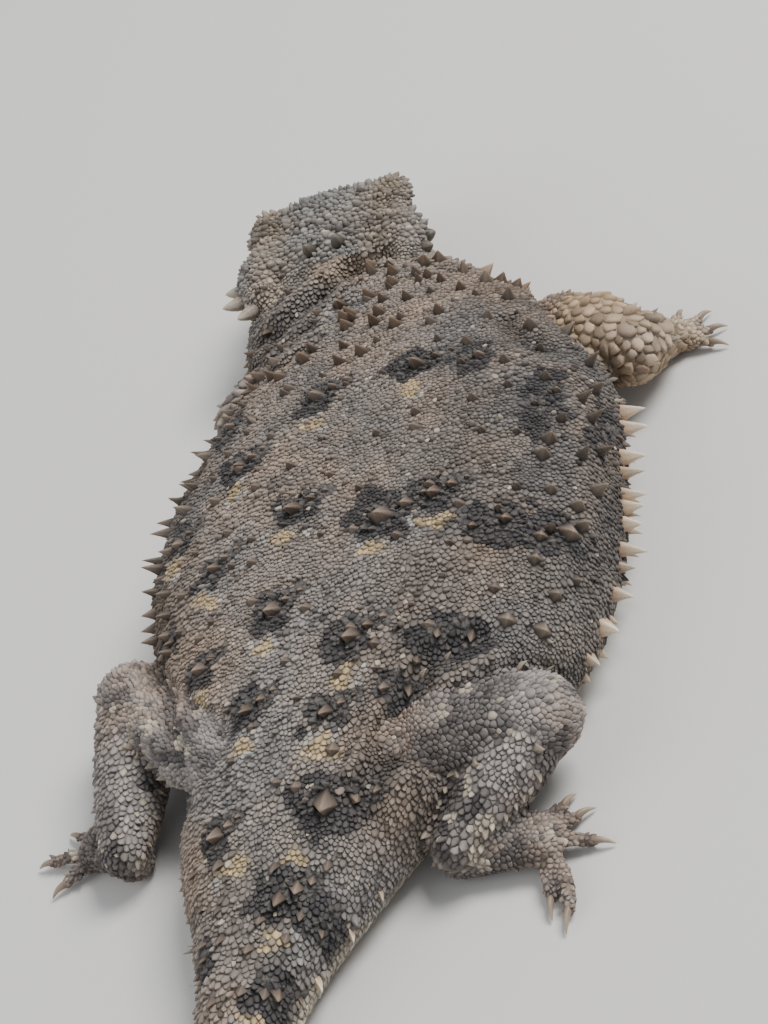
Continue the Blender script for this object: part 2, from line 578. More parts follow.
def noise(points, size, seed):
    """Smooth noise from -1 to 1 with bumps of a given size in millimetres."""
    grid = np.random.default_rng(seed).uniform(-1, 1, (NOISE_CELLS,) * 3)
    at = points / size
    low = np.floor(at).astype(int)
    part = at - low
    part = part * part * (3 - 2 * part)
    total = np.zeros(len(points))
    for corner in itertools.product((0, 1), repeat=3):
        index = (low + corner) % NOISE_CELLS
        weight = np.prod(np.where(corner, part, 1 - part), axis=1)
        total += weight * grid[tuple(index.T)]
    return total


def waver(points, waves):
    """A column of noise for each pair of a size and a seed."""
    return np.column_stack([noise(points, *wave) for wave in waves])


def head_matrix():
    """From the head's own frame to its place on the body, in millimetres."""
    own = Matrix(((1, 0, 0, 0), (0, -1, 0, 0), (0, 0, 1, 0), (0, 0, 0, 1)))
    angles = [math.radians(angle) for angle in (HEAD_PITCH, HEAD_ROLL, HEAD_YAW)]
    return Matrix.Translation(Vector(HEAD_AT)) @ Euler(angles, "XYZ").to_matrix().to_4x4() @ own


HEAD = np.array(head_matrix())
HEAD_BACK = np.linalg.inv(HEAD)


def moved(points, matrix):
    """Points through a 4 by 4 matrix."""
    return np.asarray(points, float) @ matrix[:3, :3].T + matrix[:3, 3]


def mirrored(place, side):
    """A place on the head's left, moved to the right when side is -1."""
    return (place[0] * side, place[1], place[2])


def frame_shift():
    """Where the drawing's origin lies in the frame, in metres, from the two eyes' places."""
    middles = []
    for side, word in ((1, "left"), (-1, "right")):
        low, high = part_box("eye_" + word)
        drawn = moved([mirrored(EYE_AT, side)], HEAD)[0] * MM
        middles.append(np.array((low + high) / 2) - drawn)
    return np.mean(middles, axis=0)


SHIFT = frame_shift()


def placed(points):
    """Points drawn in millimetres as places in the frame, in metres."""
    return np.asarray(points, float) * MM + SHIFT


def trunk_points(place, angles, grow=0.0):
    """Points on the neck, trunk or tail across the midline at a place along Y, grown outward by grow."""
    centre = np.array([smooth(MIDLINE, place), place])
    drift = smooth(MIDLINE, place + MIDLINE_NUDGE) - smooth(MIDLINE, place - MIDLINE_NUDGE)
    ahead = np.array([drift, 2 * MIDLINE_NUDGE])
    ahead /= np.linalg.norm(ahead)
    left = np.array([ahead[1], -ahead[0]])
    across, up = rounded(angles, EDGE_ROUNDNESS, BACK_ROUNDNESS)
    half = smooth(HALF_WIDTH, place) + grow
    edge = smooth(EDGE_HEIGHT, place)
    above = smooth(BACK_HEIGHT, place) + grow - edge
    below = edge - smooth(BELLY_LEVEL, place) + grow
    height = edge + np.where(up > 0, up * above, up * below)
    level = centre + np.outer(across * half, left)
    return np.column_stack([level, np.maximum(height, FLOOR_GAP)])


def trunk_surface(place, angle, grow=0.0):
    """A point on the body's surface, with the direction that points straight out of it."""
    nudge = 0.02
    turned = trunk_points(place, angle + nudge * np.array([-1, 0, 1]), grow)
    before = trunk_points(place - nudge, np.array([angle]), grow)[0]
    after = trunk_points(place + nudge, np.array([angle]), grow)[0]
    out = np.cross(turned[2] - turned[0], before - after)
    return turned[1], out / np.linalg.norm(out)


def trunk_frame(points):
    """Place along the body, distance from its midline toward the left, and its heading, for points."""
    place = points[:, 1].copy()
    for _ in range(SEARCH_STEPS):
        slope = smooth(MIDLINE, place + MIDLINE_NUDGE) - smooth(MIDLINE, place - MIDLINE_NUDGE)
        slope = slope / (2 * MIDLINE_NUDGE)
        off_x, off_y = points[:, 0] - smooth(MIDLINE, place), points[:, 1] - place
        along = SEARCH_PACE * (off_x * slope + off_y) / (1 + slope ** 2)
        place = np.clip(place + along, TRUNK_START, TAIL_TIP)
    off_x, off_y = points[:, 0] - smooth(MIDLINE, place), points[:, 1] - place
    length = np.sqrt(1 + slope ** 2)
    across = (off_x - off_y * slope) / length
    heading = np.column_stack([slope / length, 1 / length, np.zeros(len(points))])
    return place, across, heading


def linked(name, data):
    """A new object of the scene for a mesh, a lamp or a camera."""
    item = bpy.data.objects.new(name, data)
    bpy.context.scene.collection.objects.link(item)
    return item


def piece_from(name, vertices, faces):
    """An object from points in millimetres."""
    mesh = bpy.data.meshes.new(name)
    mesh.from_pydata([Vector(v) for v in placed(vertices)], [], faces)
    return linked(name, mesh)


def loft_faces(rings, sides):
    """Faces through rings of equally many points, with a flat cap on each end."""
    faces = []
    for row in range(rings - 1):
        for side in range(sides):
            here, beside = row * sides + side, row * sides + (side + 1) % sides
            faces.append((here, beside, beside + sides, here + sides))
    faces.append(tuple(range(sides))[::-1])
    faces.append(tuple(range((rings - 1) * sides, rings * sides)))
    return faces


def loft(name, rings):
    """A closed body through rings of equally many points."""
    return piece_from(name, np.concatenate(rings), loft_faces(len(rings), len(rings[0])))


def tube_stations(points, halves, stations):
    """Places along a smooth path with the frame and the half sizes of the tube at each."""
    points = np.array(points, float)
    halves = np.array(halves, float)
    reach = np.concatenate([[0], np.cumsum(np.linalg.norm(np.diff(points, axis=0), axis=1))])
    along = np.linspace(0, reach[-1], stations)
    line = np.column_stack([smooth(np.column_stack([reach, points[:, k]]), along) for k in range(3)])
    spans = np.linspace(0, reach[-1], len(halves))
    size = np.column_stack([smooth(np.column_stack([spans, halves[:, k]]), along) for k in range(2)])
    heading = unit(np.gradient(line, axis=0))
    sideways = unit(np.cross([0, 0, 1], heading))
    return line, size, heading, sideways, np.cross(heading, sideways)


def tube_rings(points, halves, tube, grow):
    """Rings of a limb along a smooth path, with a half width and half height at stations and round ends."""
    sides, stations = tube
    line, size, heading, sideways, upward = tube_stations(points, halves, stations)
    size = size + grow
    bends = np.radians(ROUND_END)
    order = [(0, -1, angle) for angle in bends]
    order += [(i, 0, 0.0) for i in range(stations)]
    order += [(stations - 1, 1, angle) for angle in bends[::-1]]
    turns = np.linspace(0, 2 * np.pi, sides, endpoint=False)
    rings = []
    for i, end, angle in order:
        centre = line[i] + heading[i] * end * math.sin(angle) * size[i].min()
        across = np.outer(np.cos(turns) * size[i][0], sideways[i])
        along = np.outer(np.sin(turns) * size[i][1], upward[i])
        rings.append(centre + math.cos(angle) * (across + along))
    return rings


def head_rings(grow):
    """Rings of the skull from its back to the snout, in the head's own frame."""
    angles = np.linspace(0, 2 * np.pi, HEAD_SIDES, endpoint=False)
    across, up = rounded(angles, JAW_ROUNDNESS, CROWN_ROUNDNESS)
    stations = np.linspace(HEAD_PROFILE[0][0], HEAD_PROFILE[-1][0], HEAD_STATIONS)
    profile = np.array(HEAD_PROFILE)
    rings = []
    for forward in stations:
        half, crown, widest, under = (smooth(profile[:, [0, k]], forward) for k in (1, 2, 3, 4))
        height = widest + np.where(up > 0, up * (crown - widest + grow), up * (widest - under + grow))
        reach = forward + grow * (2 * (forward - stations[0]) / (stations[-1] - stations[0]) - 1)
        rings.append(np.column_stack([across * (half + grow), np.full(HEAD_SIDES, reach), height]))
    return rings


def toe_path(root, turn, curl, length):
    """Points along one toe, that curls sideways as it reaches out, and the tip of its claw."""
    step = length / (TOE_STEPS - 1)
    path = [np.array(root, float)]
    for count in range(TOE_STEPS - 1):
        now = turn + curl * (count + 0.5) / (TOE_STEPS - 1)
        path.append(path[-1] + step * np.array([math.sin(now), -math.cos(now), 0.0]))
    for count, point in enumerate(path):
        point[2] = TOE_RADIUS + TOE_ARCH * math.sin(math.pi * count / (TOE_STEPS - 1))
    last = turn + curl
    claw = path[-1] + CLAW_LENGTH * np.array([math.sin(last), -math.cos(last), 0.0])
    claw[2] = CLAW_TIP_HEIGHT
    return path, claw


def foot_lines(leg):
    """The palm's two ends, and the path and claw tip of each toe."""
    heading, length, toes = FEET[leg]
    wrist = np.array(LEGS[leg][2])
    width, thick = PALM_HALF[leg[:4]]
    facing = np.radians(heading)
    forward = np.array([math.sin(facing), -math.cos(facing), 0.0])
    outer = -1 if leg.endswith("right") else 1
    sideways = outer * np.cross([0, 0, 1], forward)
    start = np.array([wrist[0], wrist[1], thick])
    end = start + forward * length
    paths = []
    for count, (reach, turn, curl) in enumerate(toes):
        root = end + sideways * (count - 2) * width * TOE_SPREAD - forward * TOE_ROOT
        aim, bend = facing + outer * math.radians(turn), outer * math.radians(curl)
        paths.append(toe_path(root, aim, bend, reach + TOE_ROOT))
    return (start, end), paths


def body_parts():
    """Closed forms of the whole animal under its scales: trunk and tail, head, legs and feet."""
    grow = -SCALE_DEPTH
    places = np.arange(TRUNK_START, TAIL_TIP + RING_STEP / 2, RING_STEP)
    angles = np.linspace(0, 2 * np.pi, TRUNK_SIDES, endpoint=False)
    parts = [loft("trunk", [trunk_points(place, angles, grow) for place in places])]
    parts.append(loft("skull", [moved(ring, HEAD) for ring in head_rings(grow)]))
    for side in (1, -1):
        for line, halves in ((BROW_LINE, BROW_HALVES), (LOBE_LINE, LOBE_HALVES), (CHEEK_LINE, CHEEK_HALVES)):
            rings = tube_rings([mirrored(point, side) for point in line], halves, RIDGE_TUBE, grow)
            parts.append(loft("ridge", [moved(ring, HEAD) for ring in rings]))
    for leg, joints in LEGS.items():
        for part in (0, 1):
            halves = LIMB_HALVES[leg[:4]][part]
            parts.append(loft("limb", tube_rings(joints[part:part + 2], halves, LIMB_TUBE, grow)))
        width, thick = PALM_HALF[leg[:4]]
        palm, toes = foot_lines(leg)
        halves = [(width * PALM_TAPER, thick), (width, thick * PALM_TAPER)]
        parts.append(loft("palm", tube_rings(palm, halves, PALM_TUBE, grow / 2)))
        sizes = [(TOE_RADIUS * share,) * 2 for share in TOE_TAPER]
        for path, _ in toes:
            parts.append(loft("toe", tube_rings(path, sizes, TOE_TUBE, grow / 3)))
    return parts


def merged(name, parts):
    """One object that holds the meshes of several, which are removed."""
    shape = bmesh.new()
    for part in parts:
        shape.from_mesh(part.data)
        bpy.data.objects.remove(part)
    mesh = bpy.data.meshes.new(name)
    shape.to_mesh(mesh)
    shape.free()
    return linked(name, mesh)


def settled(piece):
    """Applies a piece's modifiers to its mesh."""
    bpy.context.view_layer.update()
    graph = bpy.context.evaluated_depsgraph_get()
    mesh = bpy.data.meshes.new_from_object(piece.evaluated_get(graph))
    piece.modifiers.clear()
    old = piece.data
    piece.data = mesh
    bpy.data.meshes.remove(old)
    return piece


def remeshed(piece, voxel, smoothing):
    """Turns overlapping closed forms into one even surface."""
    change = piece.modifiers.new("voxels", "REMESH")
    change.mode = "VOXEL"
    change.voxel_size = voxel * MM
    if smoothing:
        soften = piece.modifiers.new("soften", "SMOOTH")
        soften.factor = SMOOTH_SHARE
        soften.iterations = smoothing
    return settled(piece)


def vertices_of(mesh):
    """A mesh's vertices in the drawing's millimetres, with their normals."""
    places = np.empty(len(mesh.vertices) * 3, np.float32)
    mesh.vertices.foreach_get("co", places)
    normals = np.empty(len(mesh.vertices) * 3, np.float32)
    mesh.vertices.foreach_get("normal", normals)
    return (places.reshape(-1, 3) - SHIFT) / MM, normals.reshape(-1, 3).astype(float)


def set_vertices(mesh, points):
    """Puts a mesh's vertices at points drawn in millimetres."""
    mesh.vertices.foreach_set("co", placed(points).astype(np.float32).ravel())
    mesh.update()


def distance_to_line(points, line):
    """Distance to a line of points, with the share of the way along it and its heading there."""
    line = np.array(line, float)
    spans = np.linalg.norm(np.diff(line, axis=0), axis=1)
    reach = np.concatenate([[0], np.cumsum(spans)])
    best = np.full(len(points), np.inf)
    share = np.zeros(len(points))
    heading = np.zeros_like(points)
    for start, end, span, at in zip(line[:-1], line[1:], spans, reach):
        run = (end - start) / span
        along = np.clip((points - start) @ run, 0, span)
        far = np.linalg.norm(points - start - np.outer(along, run), axis=1)
        nearer = far < best
        best[nearer] = far[nearer]
        share[nearer] = (at + along[nearer]) / reach[-1]
        heading[nearer] = run
    return best, share, heading


def fold_relief(points):
    """How far the folds of neck and flanks push the skin out, with their groove and ridge shares."""
    relief, hollow, crest = np.zeros((3, len(points)))
    top = step_between(*FOLD_LEVELS, points[:, 2])
    flat = points[:, :2] + FOLD_WAVER * waver(points, FOLD_WAVES)
    for line, depth, width in FOLDS:
        far, share, _ = distance_to_line(flat, line)
        ends = step_between(0.0, FOLD_ENDS[0], share) * step_between(0.0, FOLD_ENDS[1], 1 - share)
        groove = bump(far / width, 0, FOLD_WIDEN) * ends * top
        ridge = bump(far, FOLD_RIDGE_OFFSET, width) * ends * top
        relief += depth * (FOLD_RIDGE_SHARE * ridge - groove)
        hollow = np.maximum(hollow, groove * min(depth, 1.0))
        crest = np.maximum(crest, ridge * min(depth, 1.0))
    return relief, hollow, crest


def lid_share(points, side):
    """Distances of the head's points from an eye's opening, 1 at the lid's edge, and from its centre."""
    offset = points - np.array(mirrored(EYE_AT, side))
    far = np.linalg.norm(offset, axis=1)
    share = np.hypot(offset[:, 1] / LID_OPENING[0], offset[:, 2] / LID_OPENING[1])
    share = np.where(offset[:, 2] > 0, share * (1 + LID_SLANT * offset[:, 2]), share)
    return np.where(offset[:, 0] * side > 0, share, OUT_OF_SIGHT), far, offset


def hollow_share(points, place, size, side):
    """Distance from the middle of a hollow of the head, where 1 is about its edge."""
    return np.linalg.norm((points - np.array(mirrored(place, side))) / np.array(size), axis=1)


def shaped_head(points):
    """Lids, mouth, lips, nostrils and ears pushed into the skin of the head."""
    head = moved(points, HEAD_BACK)
    behind, lowest, widest = HEAD_LIMITS
    inside = (head[:, 1] > behind) & (head[:, 2] > lowest) & (np.abs(head[:, 0]) < widest)
    gap = head[:, 2] - smooth(MOUTH, head[:, 1])
    ahead = head[:, 1] - MOUTH_MIDDLE
    along = step_between(*MOUTH_CORNER, head[:, 1]) * (np.hypot(head[:, 0], ahead) > MOUTH_CLEAR)
    inward = unit(np.column_stack([head[:, 0], MOUTH_SQUASH * ahead, np.zeros(len(head))]))
    push = LIPS[0] * bump(np.abs(gap), *LIPS[1:]) - MOUTH_GROOVE[0] * bump(gap, 0, MOUTH_GROOVE[1])
    head += inward * (push * along * inside)[:, None]
    pits = [(NOSTRIL_AT, NOSTRIL_SIZE, NOSTRIL_DEPTH), (EAR_AT, EAR_SIZE, EAR_DEPTH),
            (BROW_HOLLOW, BROW_HOLLOW_SIZE, BROW_HOLLOW_DEPTH)]
    for side in (1, -1):
        share, far, offset = lid_share(head, side)
        lid = EYE_RADIUS + LID_THICKNESS + LID_RIM[0] * bump(share, *LID_RIM[1:])
        lid = lid - LID_FURROW[0] * step_between(*LID_FURROW[1:], share)
        near = inside & (share < LID_REACH[0]) & (far < EYE_RADIUS + LID_REACH[1]) & (offset[:, 0] * side > 0)
        fade = step_between(*LID_FADE, share)
        closed = lid * (1 - fade) + far * fade
        opened = step_between(*LID_EDGE, share)
        reach = closed * opened + (EYE_RADIUS - SOCKET_DEPTH) * (1 - opened)
        scale = np.where(near, reach / np.maximum(far, 1e-6), 1.0)
        head = np.array(mirrored(EYE_AT, side)) + offset * scale[:, None]
        for place, size, depth in pits:
            off = (head - np.array(mirrored(place, side))) / np.array(size)
            square = np.sum(off ** 2, axis=1)
            pit = np.exp(-square ** PIT_STEEPNESS)
            rim = PIT_RIM[0] * bump(np.sqrt(square), *PIT_RIM[1:])
            head[:, 0] -= side * (depth * pit - rim) * inside
    return moved(head, HEAD)


def make_skin():
    """The skin of the whole animal as one surface, with its folds."""
    skin = remeshed(merged("skin", body_parts()), VOXEL, SMOOTHING)
    points, normals = vertices_of(skin.data)
    relief, _, _ = fold_relief(points)
    waves = sum(height * noise(points, size, seed) for height, size, seed in SKIN_WAVES)
    relief += step_between(*WAVE_LEVELS, points[:, 2]) * (waves - CREASE_DEPTH * creases(points))
    crown = step_between(*CROWN_EDGE, moved(points, HEAD_BACK)[:, 1])
    points = shaped_head(points + normals * (relief * (1 - crown))[:, None])
    points[:, 2] = np.maximum(points[:, 2], FLOOR_GAP)
    set_vertices(skin.data, points)
    return skin


def part_distances(points):
    """Each part's distance below the points, its region, its leg, its place there and its scales' lie."""
    place, across, heading = trunk_frame(points)
    edge = smooth(EDGE_HEIGHT, place)
    above = smooth(BACK_HEIGHT, place) - edge
    rise = (points[:, 2] - edge) / np.where(points[:, 2] > edge, above, edge)
    half = smooth(HALF_WIDTH, place)
    away = (np.hypot(across / half, rise) - 1) * np.minimum(half, above)
    offset = points[:, :2] - np.column_stack([smooth(MIDLINE, place), place])
    beyond = np.abs(np.sum(offset * heading[:, :2], axis=1))
    away = np.where(beyond > BEYOND_END, np.hypot(beyond, np.maximum(away, 0)), away)
    outward = np.sign(across)[:, None] * np.column_stack([heading[:, 1], -heading[:, 0], 0 * place])
    yield away, np.where(place > VENT, TAIL_PART, TRUNK_PART), -1, heading + SIDEWAYS_LIE * outward
    for number, (leg, joints) in enumerate(LEGS.items()):
        for part in (0, 1):
            far, share, run = distance_to_line(points, joints[part:part + 2])
            sizes = np.array(LIMB_HALVES[leg[:4]][part]).mean(axis=1)
            yield far - np.interp(share, np.linspace(0, 1, len(sizes)), sizes), LIMB_PART, number, run
        palm, toes = foot_lines(leg)
        for line, radius in [(palm, PALM_HALF[leg[:4]][1])] + [(path, TOE_RADIUS) for path, _ in toes]:
            far, _, run = distance_to_line(points, line)
            yield far - radius, FOOT_PART, number, run


def regions(points):
    """Which part of the body each point is on, on which leg, and the way its scales lie."""
    away = np.full(len(points), np.inf)
    label, leg, lie = np.zeros(len(points), int), np.zeros(len(points), int), np.zeros_like(points)
    for far, kind, number, way in part_distances(points):
        nearer = far < away
        away[nearer], leg[nearer], lie[nearer] = far[nearer], number, way[nearer]
        label[nearer] = np.broadcast_to(kind, len(points))[nearer]
    head = moved(points, HEAD_BACK)
    lobes = np.minimum.reduce([
        distance_to_line(head, [mirrored(point, side) for point in line])[0] - LOBE_HALVES[0][0]
        for side in (1, -1) for line in (LOBE_LINE, CHEEK_LINE)
    ])
    on_head = (points[:, 1] < NAPE) & ((head[:, 1] > HEAD_BEHIND) | (lobes < LOBE_REACH))
    on_head &= head[:, 2] > HEAD_LIMITS[1]
    on_head &= ~(np.isin(label, (LIMB_PART, FOOT_PART)) & (away < NEAR_LEG))
    label[on_head] = HEAD_PART
    lie[on_head] = HEAD[:3, :3] @ np.array([0, -1.0, 0])
    return label, leg, unit(lie)


def creases(points):
    """How near each point is to the line where a leg meets the body: 1 on it, 0 far from it."""
    nearest = np.full((1 + len(LEGS), len(points)), np.inf)
    for far, _, number, _ in part_distances(points):
        nearest[number + 1] = np.minimum(nearest[number + 1], far)
    second = np.partition(nearest, 1, axis=0)[1]
    return bump(second, 0, CREASE_WIDTH)


def blend(first, second, share):
    """Colours between two, by a share for each point."""
    return first * (1 - share[:, None]) + np.asarray(second) * share[:, None]


def mottled(first, second, mix, noises, depths, fine, speckle):
    """Colours that wander between two, and from lighter to darker."""
    share = np.clip(mix[0] + mix[1] * noises[0] + mix[2] * noises[1], 0, 1)
    tint = blend(np.tile(first, (len(fine), 1)), second, share)
    return tint * (1 + depths[0] * fine + depths[1] * speckle)[:, None]


def patched(tint, points, patches):
    """Colours with patches of others over them."""
    for colour, low, high, size, seed, strength in patches:
        tint = blend(tint, colour, step_between(low, high, noise(points, size, seed)) * strength)
    return tint


def crown_colours(points):
    """Colours of the head: grey crown, brown temples, paler jaw, dark ears and hollows under the brow."""
    head = moved(points, HEAD_BACK)
    share, size, seed = TEMPLE_WAVE
    browner = TEMPLES[0] * bump(np.abs(head[:, 0]), *TEMPLES[1:]) + share * noise(points, size, seed)
    tint = blend(np.tile(CROWN, (len(points), 1)), HEAD_BROWN, np.clip(browner, 0, TEMPLE_MOST))
    tint = patched(tint, points, CROWN_PATCHES)
    tint = blend(tint, PALE, JAW_PALE[0] * (1 - step_between(*JAW_PALE[1:], head[:, 2])))
    for side in (1, -1):
        for place, size, strength, low, high in HOLLOW_SHADES:
            inner = 1 - step_between(low, high, hollow_share(head, place, size, side))
            tint = blend(tint, DARK, strength * inner)
    return tint


def blotched(tint, points, upper, speckle):
    """Colours with the dark blotches of the back and the yellow edge behind each."""
    warped = points[:, :2].copy()
    for depth, waves in BLOTCH_WAVES:
        warped += depth * waver(points, waves)
    for place, half, edge in BLOTCHES:
        strength, low, high, rough = BLOTCH_DARK
        far = np.hypot(*((warped - place) / half).T)
        tint = blend(tint, DARK, strength * upper * step_between(low, high, rough * speckle - far))
        if edge:
            far = np.hypot(*((warped - edge) / YELLOW_SIZE).T)
            beside = bump(far, *BLOTCH_PALE[1:]) * step_between(*PALE_SPECKLE, speckle)
            tint = blend(tint, PALE_GREY, BLOTCH_PALE[0] * upper * beside)
            strength, low, high, rough = BLOTCH_YELLOW
            tint = blend(tint, YELLOW, strength * upper * step_between(low, high, rough * speckle - far))
    return tint


def markings(points, label, limb):
    """Colour of the skin and of the scales at points, with blotches, folds, legs, head and belly."""
    coarse, fine, speckle = (noise(points, *wave) for wave in (COARSE, FINE, SPECKLE))
    tint = mottled(GREY, BROWN, BODY_MIX, (coarse, fine), BODY_DEPTH, fine, speckle)
    for side, low, high, shade in SIDE_SHADES:
        reach = step_between(low, high, side * points[:, 0] + SIDE_WAVER * coarse)
        tint *= (1 - (1 - shade) * reach)[:, None]
    _, hollow, crest = fold_relief(points)
    tint = blend(tint, BROWN, RIDGE_WARMTH * crest) * (1 - FOLD_SHADE * hollow)[:, None]
    on_leg = np.isin(label, (LIMB_PART, FOOT_PART))
    legs = mottled(LEG, LEG_BROWN, LEG_MIX, (coarse, speckle), LEG_DEPTH, fine, speckle)
    legs = patched(legs, points, LEG_PATCHES)
    base, spread, most = ARM_MIX
    tan = step_between(*ARM_EDGE, limb_reach(points)) * np.clip(base + spread * coarse, 0, most)
    legs = np.where((on_leg & (limb == 0))[:, None], blend(legs, ARM, tan), legs)
    tint = np.where(on_leg[:, None], legs, tint)
    tint = np.where((label == HEAD_PART)[:, None], crown_colours(points), tint)
    level = points[:, 2] + np.where(label == TAIL_PART, TAIL_LIFT, 0.0)
    upper = step_between(*BLOTCH_LEVELS, level) * (~on_leg) * (label != HEAD_PART)
    tint = blotched(tint, points, upper, speckle)
    low = 1 - step_between(*BELLY_EDGE, points[:, 2] - BELLY_WAVER * fine)
    depth, start, end, size, seed = BELLY_DAPPLE
    dapple = 1 - depth * step_between(start, end, noise(points, size, seed))
    tint = blend(tint, np.tile(BELLY, (len(points), 1)) * dapple[:, None], low * BELLY_SHARE * (~on_leg))
    return np.clip(tint, DARKEST, 1.0)


def limb_reach(points):
    """How far down its leg each point is: 0 at hip or shoulder, 1 at the knee or elbow, 2 at the foot."""
    nearest = np.full(len(points), np.inf)
    reach = np.zeros(len(points))
    for joints in LEGS.values():
        for part in (0, 1):
            far, share, _ = distance_to_line(points, joints[part:part + 2])
            nearer = far < nearest
            nearest[nearer], reach[nearer] = far[nearer], part + share[nearer]
    return reach


def spacing_at(points, normals, label, limb):
    """Distance between scales at points, by the part of the body."""
    upper = step_between(*UNDERSIDE, normals[:, 2])
    wide, close = (noise(points, *wave) for wave in SPACING_WAVES)
    reach = limb_reach(points)
    base, spread = TRUNK_SPACING
    trunk = base + spread * wide + spread * close
    tail = TAIL_SPACING[0] + TAIL_SPACING[1] * (points[:, 1] - VENT)
    leg = HIND_SPACING[0] + HIND_SPACING[1] * reach + HIND_SPACING[2] * close
    base, growth, low, high = FORE_SPACING
    leg = np.where(limb < 2, base + growth * step_between(low, high, reach), leg)
    sized = [size * upper + under * (1 - upper) for size, under in zip((trunk, tail, leg), UNDER_SPACING)]
    head = moved(points, HEAD_BACK)
    crown = CROWN_SPACING[0] + CROWN_SPACING[1] * noise(points, *CROWN_WAVE)
    crown = crown * (1 - SNOUT_FINER[0] * step_between(*SNOUT_FINER[1:], head[:, 1]))
    crown = crown - OCCIPUT_FINER[0] * (1 - step_between(*OCCIPUT_FINER[1:], head[:, 1]))
    for side in (1, -1):
        share, far, _ = lid_share(head, side)
        around = (share < LID_SCALES[0]) & (far < EYE_RADIUS + LID_SCALES[1])
        crown = np.where(around, LID_SPACING[0] + LID_SPACING[1] * np.clip(share - 1, 0, 2), crown)
    return np.choose(label, [crown, *sized, FOOT_SPACING])


def triangles_of(mesh):
    """Corner numbers of a mesh's triangles."""
    mesh.calc_loop_triangles()
    corners = np.empty(len(mesh.loop_triangles) * 3, np.int32)
    mesh.loop_triangles.foreach_get("vertices", corners)
    return corners.reshape(-1, 3)


def tree_of(roots):
    """A search tree of places."""
    tree = KDTree(len(roots))
    for number, root in enumerate(roots):
        tree.insert(root, number)
    tree.balance()
    return tree


def scatter(skin, first, draw):
    """Roots of the scales over the skin: the fixed ones first, then others that keep their distance."""
    points, normals = vertices_of(skin.data)
    corners = triangles_of(skin.data)
    facing = unit(normals[corners].mean(axis=1))
    one, two, three = (points[corners[:, k]] for k in range(3))
    area = np.linalg.norm(np.cross(two - one, three - one), axis=1) / 2
    middles = points[corners].mean(axis=1)
    label, limb, _ = regions(middles)
    spacing = spacing_at(middles, facing, label, limb)
    weight = area / spacing ** 2
    count = int(TRIES * weight.sum())
    chosen = draw.choice(len(corners), count, p=weight / weight.sum())
    a, b = draw.random((2, count, 1))
    flip = a + b > 1
    a, b = np.where(flip, 1 - a, a), np.where(flip, 1 - b, b)
    face = corners[chosen]
    roots, out = (
        each[face[:, 0]] * (1 - a - b) + each[face[:, 1]] * a + each[face[:, 2]] * b
        for each in (points, normals)
    )
    out = unit(out)
    size = spacing[chosen] * (1 + SIZE_SPREAD * draw.standard_normal(count)).clip(*SIZE_LIMITS)
    head = moved(roots, HEAD_BACK)
    keep = roots[:, 2] > LOWEST_ROOT
    for side in (1, -1):
        share, far, _ = lid_share(head, side)
        keep &= ~((share < LID_BARE[0]) & (far < EYE_RADIUS + LID_BARE[1]))
        keep &= hollow_share(head, EAR_AT, EAR_SIZE, side) > EAR_BARE
    roots, out, size = roots[keep], out[keep], size[keep]
    tree = tree_of(roots)
    free = np.ones(len(roots), bool)
    for root, reach in first:
        for _, number, _ in tree.find_range(root, reach):
            free[number] = False
    taken = []
    for number in range(len(roots)):
        if free[number]:
            taken.append(number)
            for _, other, _ in tree.find_range(roots[number], size[number] * CLOSENESS):
                free[other] = False
    return roots[taken], out[taken], size[taken]


def neighbours_of(roots):
    """Numbers of the nearest other roots of each root."""
    tree = tree_of(roots)
    return np.array([[found[1] for found in tree.find_n(root, NEIGHBOURS + 1)][1:] for root in roots])


def cell_reach(roots, size, near, mine, across, along, sides):
    """How far each scale reaches in each direction before it meets the scales beside it."""
    offset = roots[near[mine]] - roots[mine][:, None]
    flat = np.stack([np.einsum("nkc,nc->nk", offset, along), np.einsum("nkc,nc->nk", offset, across)], axis=2)
    span = np.sum(flat ** 2, axis=2)
    part = size[mine][:, None] / (size[mine][:, None] + size[near[mine]])
    turns = np.linspace(0, 2 * np.pi, sides, endpoint=False)
    ways = np.column_stack([np.cos(turns), np.sin(turns)])
    toward = np.einsum("nkd,sd->nks", flat, ways)
    reach = np.where(toward > 1e-3, part[:, :, None] * span[:, :, None] / np.maximum(toward, 1e-3), np.inf)
    return np.minimum(reach.min(axis=1), REACH_LIMIT * size[mine][:, None]), turns


def tangents(normals, lie):
    """Directions along and across the lie, in the plane of the skin."""
    along = unit(lie - normals * np.sum(lie * normals, axis=1)[:, None])
    return along, np.cross(normals, along)


def mesh_from_arrays(name, points, corners, colours, uv=None):
    """An object from points in millimetres, triangles, a colour for each point and a place on the unwrap."""
    mesh = bpy.data.meshes.new(name)
    mesh.vertices.add(len(points))
    mesh.vertices.foreach_set("co", placed(points).astype(np.float32).ravel())
    mesh.loops.add(corners.size)
    mesh.loops.foreach_set("vertex_index", corners.astype(np.int32).ravel())
    mesh.polygons.add(len(corners))
    mesh.polygons.foreach_set("loop_start", np.arange(0, corners.size, 3, dtype=np.int32))
    mesh.update(calc_edges=True)
    mesh.validate()
    mesh.shade_smooth()
    set_colours(mesh, colours)
    if uv is not None:
        layer = mesh.uv_layers.new(name="OFBake")
        layer.data.foreach_set("uv", uv[corners.ravel()].astype(np.float32).ravel())
    return linked(name, mesh)


def set_colours(mesh, colours):
    """Keeps a colour for each vertex, which the materials read."""
    layer = mesh.color_attributes.new("tint", "FLOAT_COLOR", "POINT")
    full = np.column_stack([colours, np.ones(len(colours))])
    layer.data.foreach_set("color", full.astype(np.float32).ravel())


